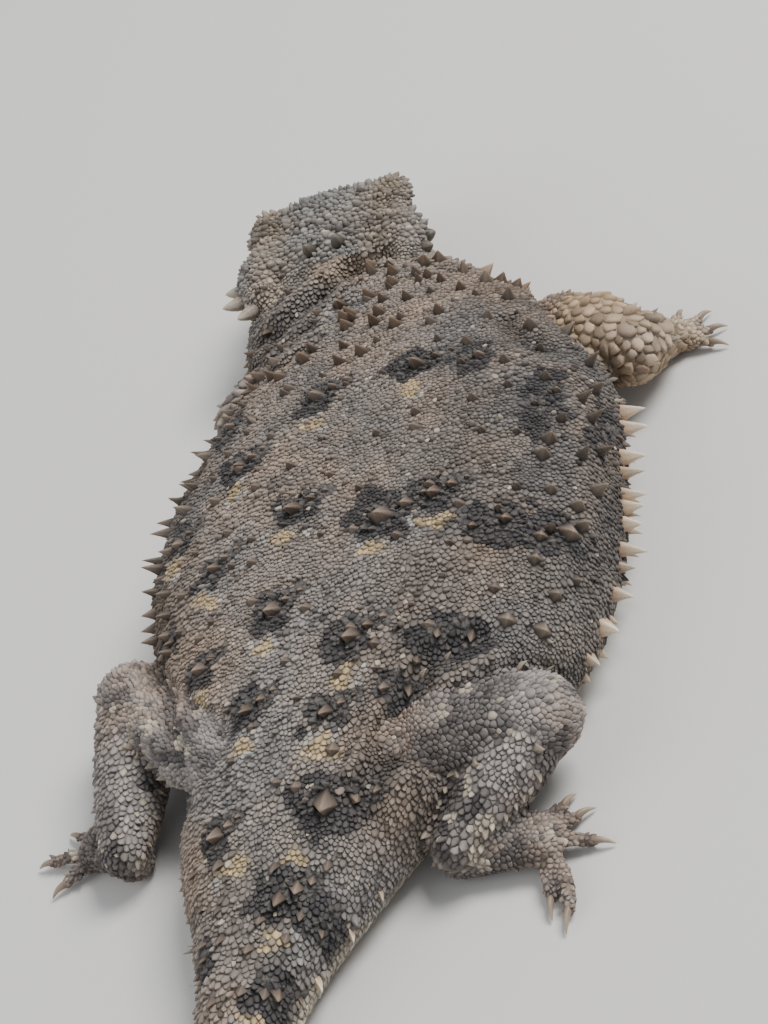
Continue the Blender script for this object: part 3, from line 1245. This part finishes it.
def tapered_faces(rows, sides):
    """Triangles of a tube through rings of points that ends in one point."""
    here, beside = np.arange(sides), (np.arange(sides) + 1) % sides
    bands = []
    for low in range(0, (rows - 1) * sides, sides):
        high = low + sides
        bands += [np.column_stack([low + here, low + beside, high + beside]),
                  np.column_stack([low + here, high + beside, high + here])]
    last = (rows - 1) * sides
    bands.append(np.column_stack([last + here, last + beside, np.full(sides, last + sides)]))
    return np.concatenate(bands)


def scale_pieces(name, roots, normals, lie, reach, turns, look, colours, uv):
    """Scales as joined meshes, each with rings at its root, shoulder and brow, and a peak."""
    height, keel, tilt, shoulder, peak, tip, overlap = (look[:, k, None] for k in range(7))
    along, across = tangents(normals, lie)
    sides = len(turns)
    normals, roots = normals[:, None], roots[:, None]
    ways = along[:, None] * np.cos(turns)[None, :, None] + across[:, None] * np.sin(turns)[None, :, None]
    ridge = bump(np.sin(turns), 0, KEEL_WIDTH)
    rise = height * (shoulder + keel * KEEL_SHARE * ridge + tilt * np.cos(turns))
    rear = np.clip(np.cos(turns), 0, 1) ** 2
    inner = (SHOULDER_REACH[0] + SHOULDER_REACH[1] * shoulder) * (1 + overlap * rear)
    mean = reach.mean(axis=1)[:, None, None]
    low = roots + ways * reach[..., None] - normals * (ROOT_DEPTH + ROOT_DEPTH_SHARE * mean)
    high = roots + ways * (reach * inner)[..., None] + normals * rise[..., None]
    back = mean * PEAK_BACK * np.clip(keel + tilt, 0, 1)[..., None]
    top = roots + along[:, None] * back + normals * (height * peak)[..., None]
    brow = high * (1 - BROW_SHARE) + top * BROW_SHARE + normals * (BROW_RISE * height)[..., None]
    points = np.concatenate([low, high, brow, top], axis=1)
    edge = EDGE_SHADE + (tip - EDGE_SHADE) * rear
    shade = np.concatenate([np.full(edge.shape, GROOVE_SHARE), edge, edge * 0.5 + tip * 0.5, tip], axis=1)
    tint = np.clip(colours[:, None] * shade[..., None], 0, 1)
    ring = np.column_stack([np.cos(turns), np.sin(turns)])
    rings = [ring, *(ring * share for share in PATCH_RINGS), [[0, 0]]]
    spots = uv[:, None] + PATCH_RADIUS * np.concatenate(rings)[None]
    faces = tapered_faces(3, sides)
    made = []
    step = PIECE_TRIANGLES // len(faces)
    for part, start in enumerate(range(0, len(points), step)):
        some = slice(start, start + step)
        corners = faces[None] + np.arange(len(points[some]))[:, None, None] * (3 * sides + 1)
        flat = [each.reshape(-1, each.shape[-1]) for each in (points[some], corners, tint[some], spots[some])]
        made.append(mesh_from_arrays(f"{name}_{part + 1}", *flat))
    return made


class Unwrap:
    """An unwrap of a coarse copy of the skin, which tells where a root lies on it."""

    def __init__(self, skin):
        """Unwraps a coarse copy of the skin, which is then removed."""
        copy = skin.copy()
        copy.data = skin.data.copy()
        bpy.context.scene.collection.objects.link(copy)
        remeshed(copy, UNWRAP_VOXEL, 0)
        shape = bmesh.new()
        shape.from_mesh(copy.data)
        bmesh.ops.triangulate(shape, faces=shape.faces)
        shape.to_mesh(copy.data)
        shape.free()
        for other in bpy.context.selected_objects:
            other.select_set(False)
        copy.select_set(True)
        bpy.context.view_layer.objects.active = copy
        bpy.ops.object.mode_set(mode="EDIT")
        bpy.ops.mesh.select_all(action="SELECT")
        bpy.ops.uv.smart_project(angle_limit=math.radians(UNWRAP_ANGLE), island_margin=UNWRAP_MARGIN)
        bpy.ops.object.mode_set(mode="OBJECT")
        mesh = copy.data
        self.corners = triangles_of(mesh)
        self.points = vertices_of(mesh)[0]
        spots = np.empty(len(mesh.loops) * 2, np.float32)
        mesh.uv_layers.active.data.foreach_get("uv", spots)
        self.spots = spots.reshape(-1, 3, 2)
        self.tree = BVHTree.FromPolygons([Vector(p) for p in self.points], [tuple(c) for c in self.corners])
        bpy.data.objects.remove(copy)

    def at(self, roots):
        """Place on the unwrap of each root."""
        found = [self.tree.find_nearest(Vector(root)) for root in roots]
        number = np.array([each[2] for each in found])
        near = np.array([each[0][:] for each in found])
        a, b, c = (self.points[self.corners[number, k]] for k in range(3))
        v0, v1, v2 = b - a, c - a, near - a
        d00, d01, d11 = np.sum(v0 * v0, 1), np.sum(v0 * v1, 1), np.sum(v1 * v1, 1)
        d20, d21 = np.sum(v2 * v0, 1), np.sum(v2 * v1, 1)
        under = np.maximum(d00 * d11 - d01 * d01, 1e-12)
        v, w = (d11 * d20 - d01 * d21) / under, (d00 * d21 - d01 * d20) / under
        share = np.clip(np.column_stack([1 - v - w, v, w]), 0, 1)
        return np.sum(self.spots[number] * share[..., None], axis=1)


def spine_mesh(spines, uv):
    """Curved, pointed spines as one mesh, each with a broad root, ridges and a lighter tip."""
    turns = np.linspace(0, 2 * np.pi, SPINE_SIDES, endpoint=False)
    circle = np.column_stack([np.cos(turns), np.sin(turns)])
    ridge = RIDGE_HOLLOW + (1 - RIDGE_HOLLOW) * np.abs(np.cos(2 * turns)) ** 3
    hollow = (1 - ridge) / (1 - RIDGE_HOLLOW)
    glow = (RIDGE_SHADE + (1 / RIDGE_SHADE - RIDGE_SHADE) * hollow)[:, None]
    faces = tapered_faces(len(SPINE_STATIONS), SPINE_SIDES)
    points, corners, colours, spots = [], [], [], []
    for number, (root, out, lie, length, radius, lean, root_tint, tip_tint) in enumerate(spines):
        along = unit(lie - out * np.dot(lie, out))
        across = np.cross(out, along)
        ring = np.outer(circle[:, 0] * ridge, along) + np.outer(circle[:, 1] * ridge * SPINE_BREADTH, across)
        for share, width in SPINE_STATIONS:
            above = max(share, 0)
            centre = root + out * length * share * math.cos(lean * above)
            centre = centre + along * length * (above * math.sin(lean) + SPINE_BEND * above ** 2)
            points.append(centre + ring * radius * width)
            mix = np.clip(share * TIP_LIGHTER, 0, 1)
            colours.append((root_tint * (1 - mix) + tip_tint * mix) * glow)
            spots.append(uv[number] + PATCH_RADIUS * circle * width / PATCH_SHARE)
        tip = root + out * length * math.cos(lean) + along * length * (math.sin(lean) + SPINE_BEND)
        points.append(tip[None])
        colours.append(tip_tint[None])
        spots.append(uv[number][None])
        corners.append(faces + number * (len(SPINE_STATIONS) * SPINE_SIDES + 1))
    points, corners, colours, spots = (np.concatenate(each) for each in (points, corners, colours, spots))
    return mesh_from_arrays("spines", points, corners, np.clip(colours, 0, 1), spots)


def placed_spine(draw, root, out, way, length, radius, lean, root_tint, tip_tint):
    """One spine's values, with its own small differences."""
    vary = 1 + draw.uniform(*LONGER_SHORTER)
    wide = 1 + draw.uniform(*WIDER_NARROWER)
    tints = np.array(root_tint) * wide, np.array(tip_tint) * wide
    return root, out, way, length * vary, radius * wide, lean, *tints


def blocked(point):
    """True where a spine would stand in a leg or in the head."""
    point = np.array([point])
    if moved(point, HEAD_BACK)[0, 1] > BEHIND_HEAD and point[0, 1] < NAPE:
        return True
    for leg, joints in LEGS.items():
        for part in (0, 1):
            far, _, _ = distance_to_line(point, joints[part:part + 2])
            if far[0] < max(map(max, LIMB_HALVES[leg[:4]][part])) + BESIDE_LEG:
                return True
    return False


def row_spines(draw):
    """Spines along the rows of the neck, the back, the flanks and the tail, clear of legs and head."""
    found = []
    for kind, share, (start, end, gap), lengths, radius, lean in SPINE_ROWS:
        stray, wander, *tints = SPINE_KINDS[kind]
        for side, place in itertools.product((1, -1), np.arange(start, end, gap)):
            place = place + draw.uniform(-stray, stray) * gap
            reach = np.clip(share + draw.uniform(-wander, wander), LEAST_REACH, 1.0)
            angle = math.acos(reach ** (1 / EDGE_ROUNDNESS))
            angle = -angle if kind == "fringe_low" else angle
            root, out = trunk_surface(place, angle if side > 0 else math.pi - angle, -SCALE_DEPTH)
            length = smooth(lengths, place)
            if not blocked(root) and not blocked(root + out * length):
                found.append(placed_spine(draw, root, out, BACKWARD, length, radius, lean, *tints))
    return found


def blotch_spines(draw):
    """The large spine of each blotch, in a ring of raised dark scales."""
    found = []
    length, radius, *tints = BLOTCH_SPINE
    count, ring, small, narrow, *dim_tints = ROSETTE
    for (x, y), (half, long), edge in BLOTCHES:
        for shift, part in (BLOTCH_PLACES if edge else LONG_BLOTCH_PLACES):
            share = part * min(half, long, BLOTCH_FULL[0]) / BLOTCH_FULL[1]
            above = np.array([x + shift * half, y + shift * long * BLOTCH_STRAY, SKY])
            sizes = length * share, radius * share
            found.append(placed_spine(draw, above, UP, BACKWARD, *sizes, BLOTCH_LEAN, *tints))
            for turn in np.arange(count) * ROSETTE_TURN + draw.uniform(0, 1):
                way = np.array([math.cos(turn), math.sin(turn), 0.0])
                root = above + way * share * draw.uniform(*ring)
                sizes = draw.uniform(*small) * share, draw.uniform(*narrow)
                found.append(placed_spine(draw, root, UP, way + BACKWARD, *sizes, ROSETTE_LEAN, *dim_tints))
    return found


def limb_spines(draw):
    """Small spines along the edges of the legs."""
    found = []
    length, radius, *tints = EDGE_SPINE
    for leg, joints in LEGS.items():
        for part in (0, 1):
            halves = LIMB_HALVES[leg[:4]][part]
            stations = tube_stations(joints[part:part + 2], halves, EDGE_STATIONS)
            line, size, heading, sideways, upward = stations
            for turn, i in itertools.product(EDGE_TURNS, range(2, EDGE_STATIONS)):
                angle = math.radians(turn + draw.uniform(-EDGE_WANDER, EDGE_WANDER))
                out = math.cos(angle) * sideways[i] + math.sin(angle) * upward[i]
                root = line[i] + out * size[i].mean()
                found.append(placed_spine(draw, root, out, heading[i], length, radius, EDGE_LEAN, *tints))
    return found


def head_spines(draw):
    """Small spines along the jaw, the brow and the back of the cheek."""
    found = []
    length, radius, *tints = EDGE_SPINE
    sizes = length * HEAD_SPINE_SHARE[0], radius * HEAD_SPINE_SHARE[1]
    way = HEAD[:3, :3] @ np.array([0.0, -1.0, 0.0])
    for line, count in HEAD_SPINE_LINES:
        reach = np.linspace(0, 1, len(line))
        for side, share in itertools.product((1, -1), np.linspace(0, 1, count)):
            own = [smooth(np.column_stack([reach, np.array(line)[:, k]]), share) for k in range(3)]
            root = moved([mirrored(own, side)], HEAD)[0]
            out = HEAD[:3, :3] @ np.array([side, 0.0, 0.0])
            found.append(placed_spine(draw, root, out, way, *sizes, EDGE_LEAN, *tints))
    return found


def on_skin(spines, tree):
    """The spines moved to the nearest skin, or down on it from above, without those that lie too deep."""
    kept = []
    for root, out, *rest in spines:
        falls = root[2] == SKY
        found = tree.ray_cast(Vector(root), Vector(-UP)) if falls else tree.find_nearest(Vector(root))
        near, facing, _, _ = found
        if near is None or (not falls and (np.array(near) - root) @ out > SPINE_BURIED):
            continue
        facing = np.array(facing)
        kept.append((np.array(near), unit(facing if falls else facing + SPINE_OUTWARD * out), *rest))
    return kept


def ranged(material, source, low, high, target):
    """Links a value, spread from low to high, to an input."""
    spread = material.node_tree.nodes.new("ShaderNodeMapRange")
    spread.inputs["To Min"].default_value = low
    spread.inputs["To Max"].default_value = high
    material.node_tree.links.new(source, spread.inputs["Value"])
    material.node_tree.links.new(spread.outputs["Result"], target)


def grained_material(name, grain, detail, light_and_dark):
    """A material whose colour is each vertex's own, broken up by grain, with its shader and its grain."""
    material = bpy.data.materials.new(name)
    material.use_nodes = True
    nodes, links = material.node_tree.nodes, material.node_tree.links
    shader = nodes["Principled BSDF"]
    colour = nodes.new("ShaderNodeVertexColor")
    colour.layer_name = "tint"
    place = nodes.new("ShaderNodeTexCoord")
    fine = nodes.new("ShaderNodeTexNoise")
    fine.inputs["Scale"].default_value = grain
    fine.inputs["Detail"].default_value = detail
    links.new(place.outputs["Object"], fine.inputs["Vector"])
    mix = nodes.new("ShaderNodeVectorMath")
    mix.operation = "SCALE"
    links.new(colour.outputs["Color"], mix.inputs[0])
    ranged(material, fine.outputs["Fac"], *light_and_dark, mix.inputs["Scale"])
    links.new(mix.outputs["Vector"], shader.inputs["Base Color"])
    return material, shader, fine.outputs["Fac"]


def rough_material(name, roughness, bump_strength, grain, shine):
    """Skin or horn, with a fine relief."""
    material, shader, fine = grained_material(name, grain, GRAIN_DETAIL, GRAIN_SPREAD)
    low, high = roughness - ROUGHNESS_SPREAD, roughness + ROUGHNESS_SPREAD
    ranged(material, fine, low, high, shader.inputs["Roughness"])
    relief = material.node_tree.nodes.new("ShaderNodeBump")
    relief.inputs["Strength"].default_value = bump_strength
    relief.inputs["Distance"].default_value = RELIEF_DEPTH
    material.node_tree.links.new(fine, relief.inputs["Height"])
    material.node_tree.links.new(relief.outputs["Normal"], shader.inputs["Normal"])
    shader.inputs["Specular IOR Level"].default_value = shine
    return material


def make_eyes():
    """Each eye: a dark iris with a round pupil under a clear wet surface."""
    material, shader, _ = grained_material("eye", *EYE_GRAIN)
    for name, value in EYE_FINISH.items():
        shader.inputs[name].default_value = value
    shape = bmesh.new()
    around, down = BALL_SEGMENTS
    bmesh.ops.create_uvsphere(shape, u_segments=around, v_segments=down, radius=1.0)
    bmesh.ops.triangulate(shape, faces=shape.faces)
    mesh = bpy.data.meshes.new("ball")
    shape.to_mesh(mesh)
    shape.free()
    ball = np.array([vertex.co[:] for vertex in mesh.vertices])
    for side, word in ((1, "left"), (-1, "right")):
        # The pole of the ball looks out of the socket
        points = np.column_stack([side * ball[:, 2], ball[:, 0], ball[:, 1] * side])
        off = np.hypot(points[:, 1], points[:, 2])
        bulge = 1 + CORNEA[0] * bump(off, 0, CORNEA[1]) * (points[:, 0] * side > 0)
        iris = np.where((off < PUPIL[0])[:, None], PUPIL[1], IRIS_TINT)
        iris = np.where((np.abs(off - BRIGHT_RING[0]) < BRIGHT_RING[1])[:, None], BRIGHT_RING[2], iris)
        iris = np.where((off > DARK_RIM[0])[:, None], DARK_RIM[1], iris)
        points = points * bulge[:, None] * EYE_RADIUS * BALL_SHARE + np.array(mirrored(EYE_AT, side))
        piece = mesh_from_arrays(word + "_eye", moved(points, HEAD), triangles_of(mesh), iris)
        piece.data.materials.append(material)
        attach(piece, "root")
        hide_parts("eye_" + word)


def horn_rings(place, length, outward, rise, side, slender):
    """Rings of a blunt ridged horn, the colours of their points, and its tip."""
    flat, lift = math.radians(outward), math.radians(rise)
    aim = np.array([side * math.sin(flat) * math.cos(lift), -math.cos(flat) * math.cos(lift), math.sin(lift)])
    away = unit(np.cross(aim, UP))
    over = np.cross(away, aim)
    turns = np.linspace(0, 2 * np.pi, HORN_SIDES, endpoint=False)
    start = np.array(mirrored(place, side))
    depth, count, twist, pace = HORN_FLUTES
    rings, tints = [], []
    for share in (-HORN_ROOT / length, *np.linspace(0, HORN_END, HORN_STATIONS)):
        reach = max(share, 0.0)
        radius = (1 - reach ** HORN_BLUNTNESS) ** HORN_TAPER[0] * (1 - HORN_TAPER[1] * reach)
        radius *= slender * HORN_RADIUS * (1 + HORN_GROWTH[0] * math.sin(reach * HORN_GROWTH[1]))
        radius = radius * (1 + depth * np.sin(turns * count + twist * math.sin(pace * share)))
        centre = start + aim * share * length + over * HORN_BEND * reach ** 2 * length
        rings.append(centre + np.outer(np.cos(turns) * radius, away) + np.outer(np.sin(turns) * radius, over))
        tint = np.array(HORN_ROOT_TINT) * (1 - reach) + np.array(HORN_TIP_TINT) * reach
        tints.append(np.tile(tint, (HORN_SIDES, 1)))
    return rings, tints, start + aim * length + over * HORN_BEND * length


def close_roots(piece):
    """Closes the open roots of a piece's mesh, with its faces turned outward."""
    shape = bmesh.new()
    shape.from_mesh(piece.data)
    bmesh.ops.holes_fill(shape, edges=shape.edges)
    bmesh.ops.triangulate(shape, faces=shape.faces)
    bmesh.ops.recalc_face_normals(shape, faces=shape.faces)
    shape.to_mesh(piece.data)
    shape.free()


def make_horns(material):
    """The temporal and occipital horns, each in place of its solid."""
    for side, word in ((1, "left"), (-1, "right")):
        horns = [("horn_occipital_" + word, OCCIPITAL_HORN, OCCIPITAL_SLENDER, OCCIPITAL_SHADE)]
        for count, (place, length, outward, rise) in enumerate(TEMPORAL_HORNS, start=1):
            worn = (place, length * WORN_SHARE[side], outward, rise)
            horns.append((f"horn_temporal_{word}_{count}", worn, TEMPORAL_SLENDER, HORN_SHADE[side]))
        for name, horn, slender, shade in horns:
            rings, tints, tip = horn_rings(*horn, side, slender)
            points = moved(np.concatenate([*rings, tip[None]]), HEAD)
            colours = np.concatenate([*tints, [HORN_TIP_TINT]])
            depth, size, seed = HORN_WAVE
            colours *= (1 + depth * noise(points, size, seed))[:, None] * shade
            faces = tapered_faces(len(rings), HORN_SIDES)
            piece = mesh_from_arrays("fine_" + name, points, faces, np.clip(colours, 0, 1))
            close_roots(piece)
            piece.data.materials.append(material)
            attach(piece, "root")
            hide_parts(name)


def make_claws(material):
    """A curved claw at the end of each toe, as one piece for each foot."""
    turns = np.linspace(0, 2 * np.pi, CLAW_SIDES, endpoint=False)
    thick, bluntness, least = CLAW_RADIUS
    faces = tapered_faces(CLAW_STATIONS, CLAW_SIDES)
    for leg in LEGS:
        points, corners, colours = [], [], []
        for number, (path, tip) in enumerate(foot_lines(leg)[1]):
            root = path[-1] - (path[-1] - path[-2]) * CLAW_ROOT
            aim = unit(tip - root)
            away = unit(np.cross(aim, UP))
            over = np.cross(away, aim)
            for share in np.linspace(0, CLAW_END, CLAW_STATIONS):
                centre = root + (tip - root) * share + over * CLAW_BEND * math.sin(math.pi * share)
                radius = thick * (1 - share) ** bluntness + least
                flat = np.outer(np.cos(turns) * radius * CLAW_NARROW, away)
                points.append(centre + flat + np.outer(np.sin(turns) * radius, over))
                shade = np.array(CLAW_ROOT_TINT) * (1 - share) + np.array(CLAW_TIP_TINT) * share
                colours.append(np.tile(shade, (CLAW_SIDES, 1)))
            points.append(tip[None])
            colours.append([CLAW_TIP_TINT])
            corners.append(faces + number * (CLAW_STATIONS * CLAW_SIDES + 1))
        points, corners, colours = (np.concatenate(each) for each in (points, corners, colours))
        piece = mesh_from_arrays("claws_" + leg, points, corners, colours)
        close_roots(piece)
        piece.data.materials.append(material)
        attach(piece, "root")


def scale_colours(roots, label, limb, draw):
    """Colours of the scales: the markings, with some scales darker and a few pale."""
    colours = markings(roots, label, limb)
    colours *= draw.normal(1, TINT_SPREAD, (len(roots), 1)).clip(*TINT_LIMITS)
    arms = (label == LIMB_PART) & (limb == 0)
    colours[arms] = blend(colours[arms], ARM_DARK, ARM_DARKER * draw.random(arms.sum()) ** 2)
    dim = draw.random(len(roots)) < DIM_SHARE
    colours[dim] *= draw.uniform(*DIM_SHADES, (dim.sum(), 1))
    bright = draw.random(len(roots)) < BRIGHT_SHARE
    colours[bright] = np.array(PALE) * draw.uniform(*BRIGHT_SHADES, (bright.sum(), 1))
    return colours


def make_scales(skin, spines, unwrap, material, draw):
    """The scales of each region, over the whole skin except where spines stand."""
    taken = [(root, radius * SPINE_CLEAR) for root, _, _, _, radius, *_ in spines]
    roots, out, size = scatter(skin, taken, draw)
    label, limb, lie = regions(roots)
    uv = unwrap.at(roots)
    near = neighbours_of(roots)
    colours = scale_colours(roots, label, limb, draw)
    along, across = tangents(out, lie)
    flattest, low, high = FLAT_UNDER
    upper = step_between(low, high, out[:, 2])
    for part, (name, (*values, sides)) in enumerate(SCALE_LOOKS.items()):
        mine = np.where(label == part)[0]
        look = np.tile(values, (len(mine), 1))
        look[:, 0] *= flattest + (1 - flattest) * upper[mine]
        look[:, 0] *= (size[mine] / np.median(size[mine])).clip(*SIZE_HEIGHTS)
        spread = HEAD_HEIGHT_SPREAD if part == HEAD_PART else HEIGHT_SPREAD
        look[:, 0] *= draw.normal(1, spread, len(mine)).clip(*HEIGHT_LIMITS)
        look[:, 2] += draw.normal(0, TILT_SPREAD, len(mine))
        if part == HEAD_PART:
            face = 1 - step_between(*FACE_LEVELS, moved(roots[mine], HEAD_BACK)[:, 2])
            look[:, [0, 2, 6]] *= 1 - face[:, None] * FACE_SMOOTHER
        raised = (draw.random(len(mine)) < RAISED_SHARE) & (upper[mine] > RAISED_ABOVE) & (part != HEAD_PART)
        look[raised] *= RAISED_LOOK
        reach, turns = cell_reach(roots, size, near, mine, across[mine], along[mine], sides)
        own = roots[mine], out[mine], lie[mine], reach, turns, look, colours[mine], uv[mine]
        for piece in scale_pieces(name, *own):
            piece.data.materials.append(material)
            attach(piece, "root")


def dress():
    """Skin, scales, spines, horns, claws and eyes."""
    draw = np.random.default_rng(SEED)
    skin_material = rough_material("skin", *SKIN_FINISH)
    horn_material = rough_material("horn", *HORN_FINISH)
    skin = make_skin()
    points, _ = vertices_of(skin.data)
    label, limb, _ = regions(points)
    set_colours(skin.data, markings(points, label, limb) * SKIN_SHADE)
    skin.data.shade_smooth()
    skin.data.materials.append(skin_material)
    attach(skin, "root")
    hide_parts(*FLESH)
    tree = BVHTree.FromPolygons([Vector(p) for p in points], [tuple(c) for c in triangles_of(skin.data)])
    spines = on_skin(blotch_spines(draw) + limb_spines(draw) + head_spines(draw) + row_spines(draw), tree)
    _, hollow, _ = fold_relief(np.array([root for root, *_ in spines]))
    spines = [spine for spine, deep in zip(spines, hollow) if deep < FOLD_BARE or spine[0][1] > NAPE_END]
    unwrap = Unwrap(skin)
    make_scales(skin, spines, unwrap, skin_material, draw)
    body = spine_mesh(spines, unwrap.at([root for root, *_ in spines]))
    body.data.materials.append(skin_material)
    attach(body, "root")
    make_horns(horn_material)
    make_claws(horn_material)
    make_eyes()


def make_stage():
    """A pale plain floor and soft studio light."""
    mesh = bpy.data.meshes.new("floor")
    corners = [(x * FLOOR_HALF, y * FLOOR_HALF, 0) for x, y in ((-1, -1), (1, -1), (1, 1), (-1, 1))]
    mesh.from_pydata(corners, [], [(0, 1, 2, 3)])
    floor = linked("floor", mesh)
    paper = bpy.data.materials.new("paper")
    paper.use_nodes = True
    inputs = paper.node_tree.nodes["Principled BSDF"].inputs
    inputs["Base Color"].default_value = PAPER
    inputs["Roughness"].default_value = PAPER_ROUGHNESS
    mesh.materials.append(paper)
    world = bpy.data.worlds.new("studio")
    bpy.context.scene.world = world
    world.use_nodes = True
    inputs = world.node_tree.nodes["Background"].inputs
    inputs["Color"].default_value = SKY_TINT
    inputs["Strength"].default_value = SKY_STRENGTH
    for name, place, size, power in LAMPS:
        data = bpy.data.lights.new(name, "AREA")
        data.size = size
        data.energy = power
        lamp = linked(name, data)
        lamp.location = place
        lamp.rotation_euler = (-Vector(place)).to_track_quat("-Z", "Y").to_euler()


def make_camera():
    """The photo's camera, fitted to the animal."""
    data = bpy.data.cameras.new("camera")
    data.sensor_width = SENSOR
    data.lens = FOCAL_PIXELS / PHOTO_HEIGHT * SENSOR
    data.clip_start = NEAR_CLIP
    camera = linked("camera", data)
    turn = Vector(CAMERA_TURN)
    right, down, forward = Quaternion(turn.normalized(), turn.length).to_matrix()
    basis = Matrix((right, -down, -forward)).transposed()
    camera.matrix_world = Matrix.Translation(Vector(placed([CAMERA_AT])[0])) @ basis.to_4x4()
    bpy.context.scene.camera = camera


dress()
make_stage()
make_camera()
